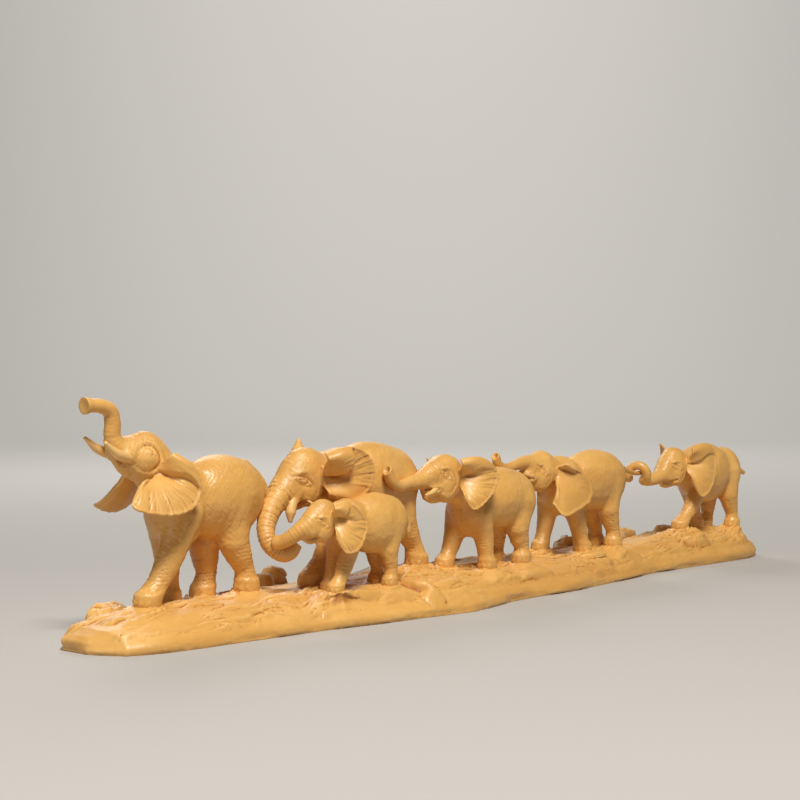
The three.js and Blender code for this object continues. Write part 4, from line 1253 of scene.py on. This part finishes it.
def side_scrape(points, normal, above):
    """Knife marks along the upright rim, and a fine tooth all over, mm outward."""
    side = soft_step(0.3, 0.8, np.hypot(normal[:, 0], normal[:, 1])) * above
    scrape = 1.0 * hills(points * np.array([0.22, 0.22, 1]), 4.0, 48)
    scrape += 0.3 * chips(points * np.array([0.20, 0.20, 0.8]), 4.5, 55)
    scrape -= 1.1 * soft_step(5.0, 11.0, points[:, 2])
    return scrape * side + 0.10 * hills(points, 1.8, 49) * above


def drop_under_net(mesh):
    """Joins the faces of the flat underside into one."""
    bm = bmesh.new()
    bm.from_mesh(mesh)
    under = [f for f in bm.faces if all(v.co.z < 1e-6 for v in f.verts)]
    bmesh.ops.dissolve_faces(bm, faces=under, use_verts=True)
    bm.to_mesh(mesh)
    bm.free()


# %% [markdown]
# The ground is worked in the order of the bench: mounds first, then gouges, stones, the ridge
# and the treads, and last the worn end and the upright rim.


# %% Carve the ground
def carve_ground():
    """The whole ground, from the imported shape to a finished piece."""
    voxel = GROUND_VOXEL * 1
    mesh = worked(copied_node("ground_base"), "REMESH", mode="VOXEL", voxel_size=voxel)
    points = points_of(mesh)
    raise_mounds(points)
    put_points(mesh, points)
    mesh = worked(mesh, "SMOOTH", factor=0.5, iterations=12)
    points, normal = points_of(mesh), normals_of(mesh)
    flat_under = points[:, 2] < 1.2
    top = soft_step(4.2, 8.0, points[:, 2]) * soft_step(-0.1, 0.4, normal[:, 2])
    lift = gouge_lift(points, top)
    lift = stone_lift(points, top, lift)
    lift = ridge_lift(points, top, lift)
    lift = tread_flat(points, lift)
    points[:, 2] += lift
    wear_end(points)
    points += normal * side_scrape(points, normal, ~flat_under)[:, None]
    points[flat_under, 2] = np.where(points[flat_under, 2] < 0.6, 0.0, points[flat_under, 2])
    low, high = (np.array(corner) / MM for corner in cad_bounds)
    points[:, :2] = np.clip(points[:, :2], low[:2] - 1, high[:2] + 1)
    points[:, 2] = np.maximum(points[:, 2], 0)
    put_points(mesh, points)
    fine, broad = hollows(mesh)
    put_points(mesh, points * MM)
    keep_hollows(mesh, "ground", fine, broad)
    drop_under_net(mesh)
    piece = as_piece("carved_ground", mesh)
    print(f"ground {len(mesh.polygons)} faces at {time.time() - started:.1f} s")
    return piece


GROUND = carve_ground()

# %% [markdown]
# ## Boxwood
#
# Boxwood is honey yellow with hardly any grain. Under hand polish it is semi-gloss. Its colour is
# painted paler on the crests, a painted highlight, and orange brown in the hollows: wax gathered in the
# fine cuts, and painted shade in the broad dips. One node group makes that colour, and each wood gives
# it its own tones.


# %% Shader helpers
def linear(red, green, blue):
    """A paint-box colour, 0 to 255, as linear light."""
    def one(value):
        value /= 255
        return value / 12.92 if value <= 0.04045 else ((value + 0.055) / 1.055) ** 2.4
    return (one(red), one(green), one(blue), 1.0)


def wired(tree, kind, **settings):
    """A new node with its settings."""
    node = tree.nodes.new(kind)
    for key, value in settings.items():
        setattr(node, key, value)
    return node


def maths(tree, operation, first, second=None, clamp=False):
    """A sum on sockets or plain numbers."""
    node = wired(tree, "ShaderNodeMath", operation=operation, use_clamp=clamp)
    for socket, value in zip(node.inputs, (first, second)):
        if value is None:
            continue
        if isinstance(value, (int, float)):
            socket.default_value = value
        else:
            tree.links.new(value, socket)
    return node.outputs[0]


def noise(tree, vector, scale, detail=3.0, rough=0.5):
    node = wired(tree, "ShaderNodeTexNoise")
    node.inputs["Scale"].default_value = scale
    node.inputs["Detail"].default_value = detail
    node.inputs["Roughness"].default_value = rough
    tree.links.new(vector, node.inputs["Vector"])
    return node.outputs["Fac"]


def mixed(tree, share, first, second):
    """The first colour running into the second."""
    node = wired(tree, "ShaderNodeMix", data_type="RGBA", blend_type="MIX")
    for socket, value in zip((node.inputs[0], node.inputs[6], node.inputs[7]),
                             (share, first, second)):
        if isinstance(value, (int, float, tuple)):
            socket.default_value = value
        else:
            tree.links.new(value, socket)
    return node.outputs[2]


def ranged(tree, value, low, high, out_low, out_high):
    """A value moved softly to another range."""
    node = wired(tree, "ShaderNodeMapRange", interpolation_type="SMOOTHSTEP")
    for socket, number in zip(node.inputs[1:5], (low, high, out_low, out_high)):
        socket.default_value = number
    tree.links.new(value, node.inputs[0])
    return node.outputs[0]


# %% The boxwood group
def boxwood_group():
    """Colour, roughness and fine height of polished boxwood; the colour holds wax in the cuts, painted
    shade in the broad dips and a painted highlight on the crests.
    """
    group = bpy.data.node_groups.new("hand_polished_boxwood", "ShaderNodeTree")
    face = group.interface
    for label in ("Wood", "Highlight and pale patch", "Wax and shade"):
        face.new_socket(label, in_out="INPUT", socket_type="NodeSocketColor")
    face.new_socket("Wax and shade depth", in_out="INPUT", socket_type="NodeSocketFloat")
    face.new_socket("Color", in_out="OUTPUT", socket_type="NodeSocketColor")
    face.new_socket("Roughness", in_out="OUTPUT", socket_type="NodeSocketFloat")
    face.new_socket("Height", in_out="OUTPUT", socket_type="NodeSocketFloat")
    given = wired(group, "NodeGroupInput")
    gives = wired(group, "NodeGroupOutput")
    place = wired(group, "ShaderNodeTexCoord").outputs["Object"]
    long = wired(group, "ShaderNodeMapping")
    long.inputs["Scale"].default_value = (0.12, 1.0, 1.0)
    group.links.new(place, long.inputs["Vector"])
    fibres = noise(group, long.outputs[0], 1500, 4.0, 0.6)
    figure = noise(group, long.outputs[0], 90, 3.0, 0.5)
    patches = noise(group, place, 55, 3.0, 0.55)
    pores = noise(group, place, 2600, 2.0, 0.5)
    fine = wired(group, "ShaderNodeAttribute", attribute_name="fine_hollow").outputs["Fac"]
    broad = wired(group, "ShaderNodeAttribute", attribute_name="broad_painted_shade").outputs["Fac"]
    # The fine hollows take the dark wax that the real carving has in its cuts; the broad dips take
    # painted shade.
    cut = ranged(group, fine, 0.05, 0.95, 0, 1)
    dip = ranged(group, broad, 0.05, 0.9, 0, 1)
    wax_and_shade = maths(group, "MAXIMUM", maths(group, "MULTIPLY", cut, 0.85),
                maths(group, "MULTIPLY", dip, 0.75))
    speckle = ranged(group, patches, 0.3, 0.7, 0.7, 1.15)
    wax_and_shade = maths(group, "MULTIPLY", maths(group, "MULTIPLY", wax_and_shade, speckle),
                given.outputs["Wax and shade depth"], clamp=True)
    # Painted highlight: the fine crests are painted paler; the random pale patches are the wood's own
    # tone.
    crest = maths(group, "MULTIPLY", ranged(group, fine, -0.10, -0.9, 0, 1), 0.55)
    crest = maths(group, "ADD", crest, ranged(group, patches, 0.5, 0.75, 0, 0.25), clamp=True)
    colour = mixed(group, crest, given.outputs["Wood"], given.outputs["Highlight and pale patch"])
    streak = ranged(group, figure, 0.35, 0.75, 0.0, 0.22)
    colour = mixed(group, streak, colour, given.outputs["Wax and shade"])
    thread = ranged(group, fibres, 0.5, 0.85, 0.0, 0.16)
    colour = mixed(group, thread, colour, given.outputs["Wax and shade"])
    # Wax and painted shade: the dark tone laid into the hollows.
    colour = mixed(group, wax_and_shade, colour, given.outputs["Wax and shade"])
    group.links.new(colour, gives.inputs["Color"])
    rough = maths(group, "ADD", ranged(group, patches, 0.3, 0.7, 0.36, 0.50),
                  maths(group, "MULTIPLY", wax_and_shade, 0.16))
    group.links.new(rough, gives.inputs["Roughness"])
    height = maths(group, "ADD", maths(group, "MULTIPLY", fibres, 0.6),
                   maths(group, "MULTIPLY", pores, 0.4))
    group.links.new(height, gives.inputs["Height"])
    return group


BOXWOOD = boxwood_group()


def wood(label, body, crest, wax_and_shade, wax_and_shade_depth, coat, relief):
    """One wood with its own three tones."""
    material = bpy.data.materials.new(label)
    material.use_nodes = True
    tree = material.node_tree
    shader = tree.nodes["Principled BSDF"]
    group = wired(tree, "ShaderNodeGroup", node_tree=BOXWOOD)
    for socket, colour in zip(("Wood", "Highlight and pale patch", "Wax and shade"), (body, crest, wax_and_shade)):
        group.inputs[socket].default_value = colour
    group.inputs["Wax and shade depth"].default_value = wax_and_shade_depth
    ridge = wired(tree, "ShaderNodeBump")
    ridge.inputs["Strength"].default_value = relief
    ridge.inputs["Distance"].default_value = 0.0001
    tree.links.new(group.outputs["Color"], shader.inputs["Base Color"])
    tree.links.new(group.outputs["Roughness"], shader.inputs["Roughness"])
    tree.links.new(group.outputs["Height"], ridge.inputs["Height"])
    tree.links.new(ridge.outputs["Normal"], shader.inputs["Normal"])
    shader.inputs["Coat Weight"].default_value = coat
    shader.inputs["Coat Roughness"].default_value = 0.28
    shader.inputs["IOR"].default_value = 1.5
    return material


# Each wood: its body tone, a pale tone for the painted highlight on crests and for pale patches, and a
# dark tone for grain, wax in the cuts and painted shade in the dips.
HONEY = wood("boxwood", linear(224, 172, 92), linear(242, 200, 130), linear(158, 84, 20),
             1.0, 0.10, 0.5)
PALE = wood("pale_boxwood", linear(236, 192, 120), linear(246, 214, 150),
            linear(190, 116, 44), 0.8, 0.25, 0.35)
DOWEL = wood("dowel_wood", linear(192, 138, 68), linear(210, 160, 90), linear(130, 76, 24),
             0.6, 0.0, 0.8)


def finish_piece(piece, material, slot, *nodes):
    """Gives a piece its wood, hangs it from the root and hides the imported nodes it stands in for."""
    piece.data.materials.clear()
    piece.data.materials.append(material)
    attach(piece, "root")
    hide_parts(*nodes)


for name, piece in CARVED.items():
    finish_piece(piece, HONEY, "boxwood", f"elephant_{name}")
finish_piece(GROUND, HONEY, "boxwood", "ground_base")
for (name, side), piece in TUSKS.items():
    finish_piece(piece, PALE, "pale_boxwood", f"{name}_tusk_{side}")
for node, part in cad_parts.items():
    if "_dowel_" in node:
        part.data.materials.clear()
        part.data.materials.append(DOWEL)

# %% [markdown]
# ## Floor, light and camera
#
# The carving stands on a plain pale floor that curves up behind it. One soft lamp high on the
# camera's side models the forms, two weak ones open the shadows from the side and from behind,
# and a fourth lights only the paper. The lens is long and set low beside the leader, so the
# line of animals runs away to the right.


# %% Floor
HEADING = math.radians(42.08)
FLAT_TO, BEND = 1.9, 1.2
bm = bmesh.new()
bmesh.ops.create_grid(bm, x_segments=8, y_segments=96, size=1)
for v in bm.verts:
    across, along = v.co.x * 9.0, -6.0 + (v.co.y + 1) * 5.5
    turn = min(max((along - FLAT_TO) / BEND, 0), math.pi / 2)
    past = max(along - FLAT_TO - BEND * math.pi / 2, 0)
    reach = min(along, FLAT_TO) + BEND * math.sin(turn)
    v.co = (reach * math.cos(HEADING) + across * math.sin(HEADING),
            reach * math.sin(HEADING) - across * math.cos(HEADING),
            BEND * (1 - math.cos(turn)) + past)
for f in bm.faces:
    f.smooth = True
floor_mesh = mesh_from(bm, "floor")
bm.free()
floor = placed("floor", floor_mesh)
paper = bpy.data.materials.new("paper")
paper.use_nodes = True
paper_shader = paper.node_tree.nodes["Principled BSDF"]
paper_shader.inputs["Base Color"].default_value = linear(184, 182, 178)
paper_shader.inputs["Roughness"].default_value = 0.8
floor_mesh.materials.append(paper)
floor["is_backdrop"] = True


# %% Lamps
def lamp(label, place, target, size, power, colour):
    """A square soft lamp, aimed at a place."""
    light = bpy.data.lights.new(label, "AREA")
    light.shape = "SQUARE"
    light.size = size
    light.energy = power
    light.color = colour
    item = placed(label, light)
    item.location = place
    aim = Vector(target) - Vector(place)
    item.rotation_euler = aim.to_track_quat("-Z", "Y").to_euler()
    return item


lamp("key", (-0.60, -0.75, 1.45), (0, 0, 0.03), 0.42, 32.0, (1.0, 0.955, 0.89))
lamp("side", (-1.5, 0.2, 0.6), (0, 0, 0.04), 0.6, 2.0, (1.0, 0.97, 0.93))
lamp("rim", (0.5, 1.0, 0.9), (0, 0, 0.04), 0.5, 4.0, (1.0, 0.97, 0.93))
lamp("wall", (0.9, 0.8, 2.0), (2.3, 2.0, 1.0), 1.5, 55.0, (1.0, 0.99, 0.97))
world = bpy.data.worlds.new("studio")
bpy.context.scene.world = world
world.use_nodes = True
world.node_tree.nodes["Background"].inputs["Color"].default_value = (0.92, 0.93, 0.95, 1)
world.node_tree.nodes["Background"].inputs["Strength"].default_value = 0.07
bpy.context.scene.view_settings.view_transform = "Standard"

# %% Camera
CAMERA_PLACE = (-0.7125, -0.5857, 0.1204)
DROP = math.radians(1.011)
FOCAL = 76.5
camera_data = bpy.data.cameras.new("camera")
camera_data.lens = FOCAL
camera_data.sensor_width = 36.0
camera_data.clip_start = 0.01
camera = placed("camera", camera_data)
camera.location = CAMERA_PLACE
sight = Vector((math.cos(HEADING) * math.cos(DROP), math.sin(HEADING) * math.cos(DROP),
                -math.sin(DROP)))
camera.rotation_euler = sight.to_track_quat("-Z", "Y").to_euler()
bpy.context.scene.camera = camera

# %% Sizes, then finish
made_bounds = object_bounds()
for label, corners in (("cad", cad_bounds), ("made", made_bounds)):
    print(label, [[round(value / MM, 1) for value in corner] for corner in corners])
print(f"whole script {time.time() - started:.1f} s")
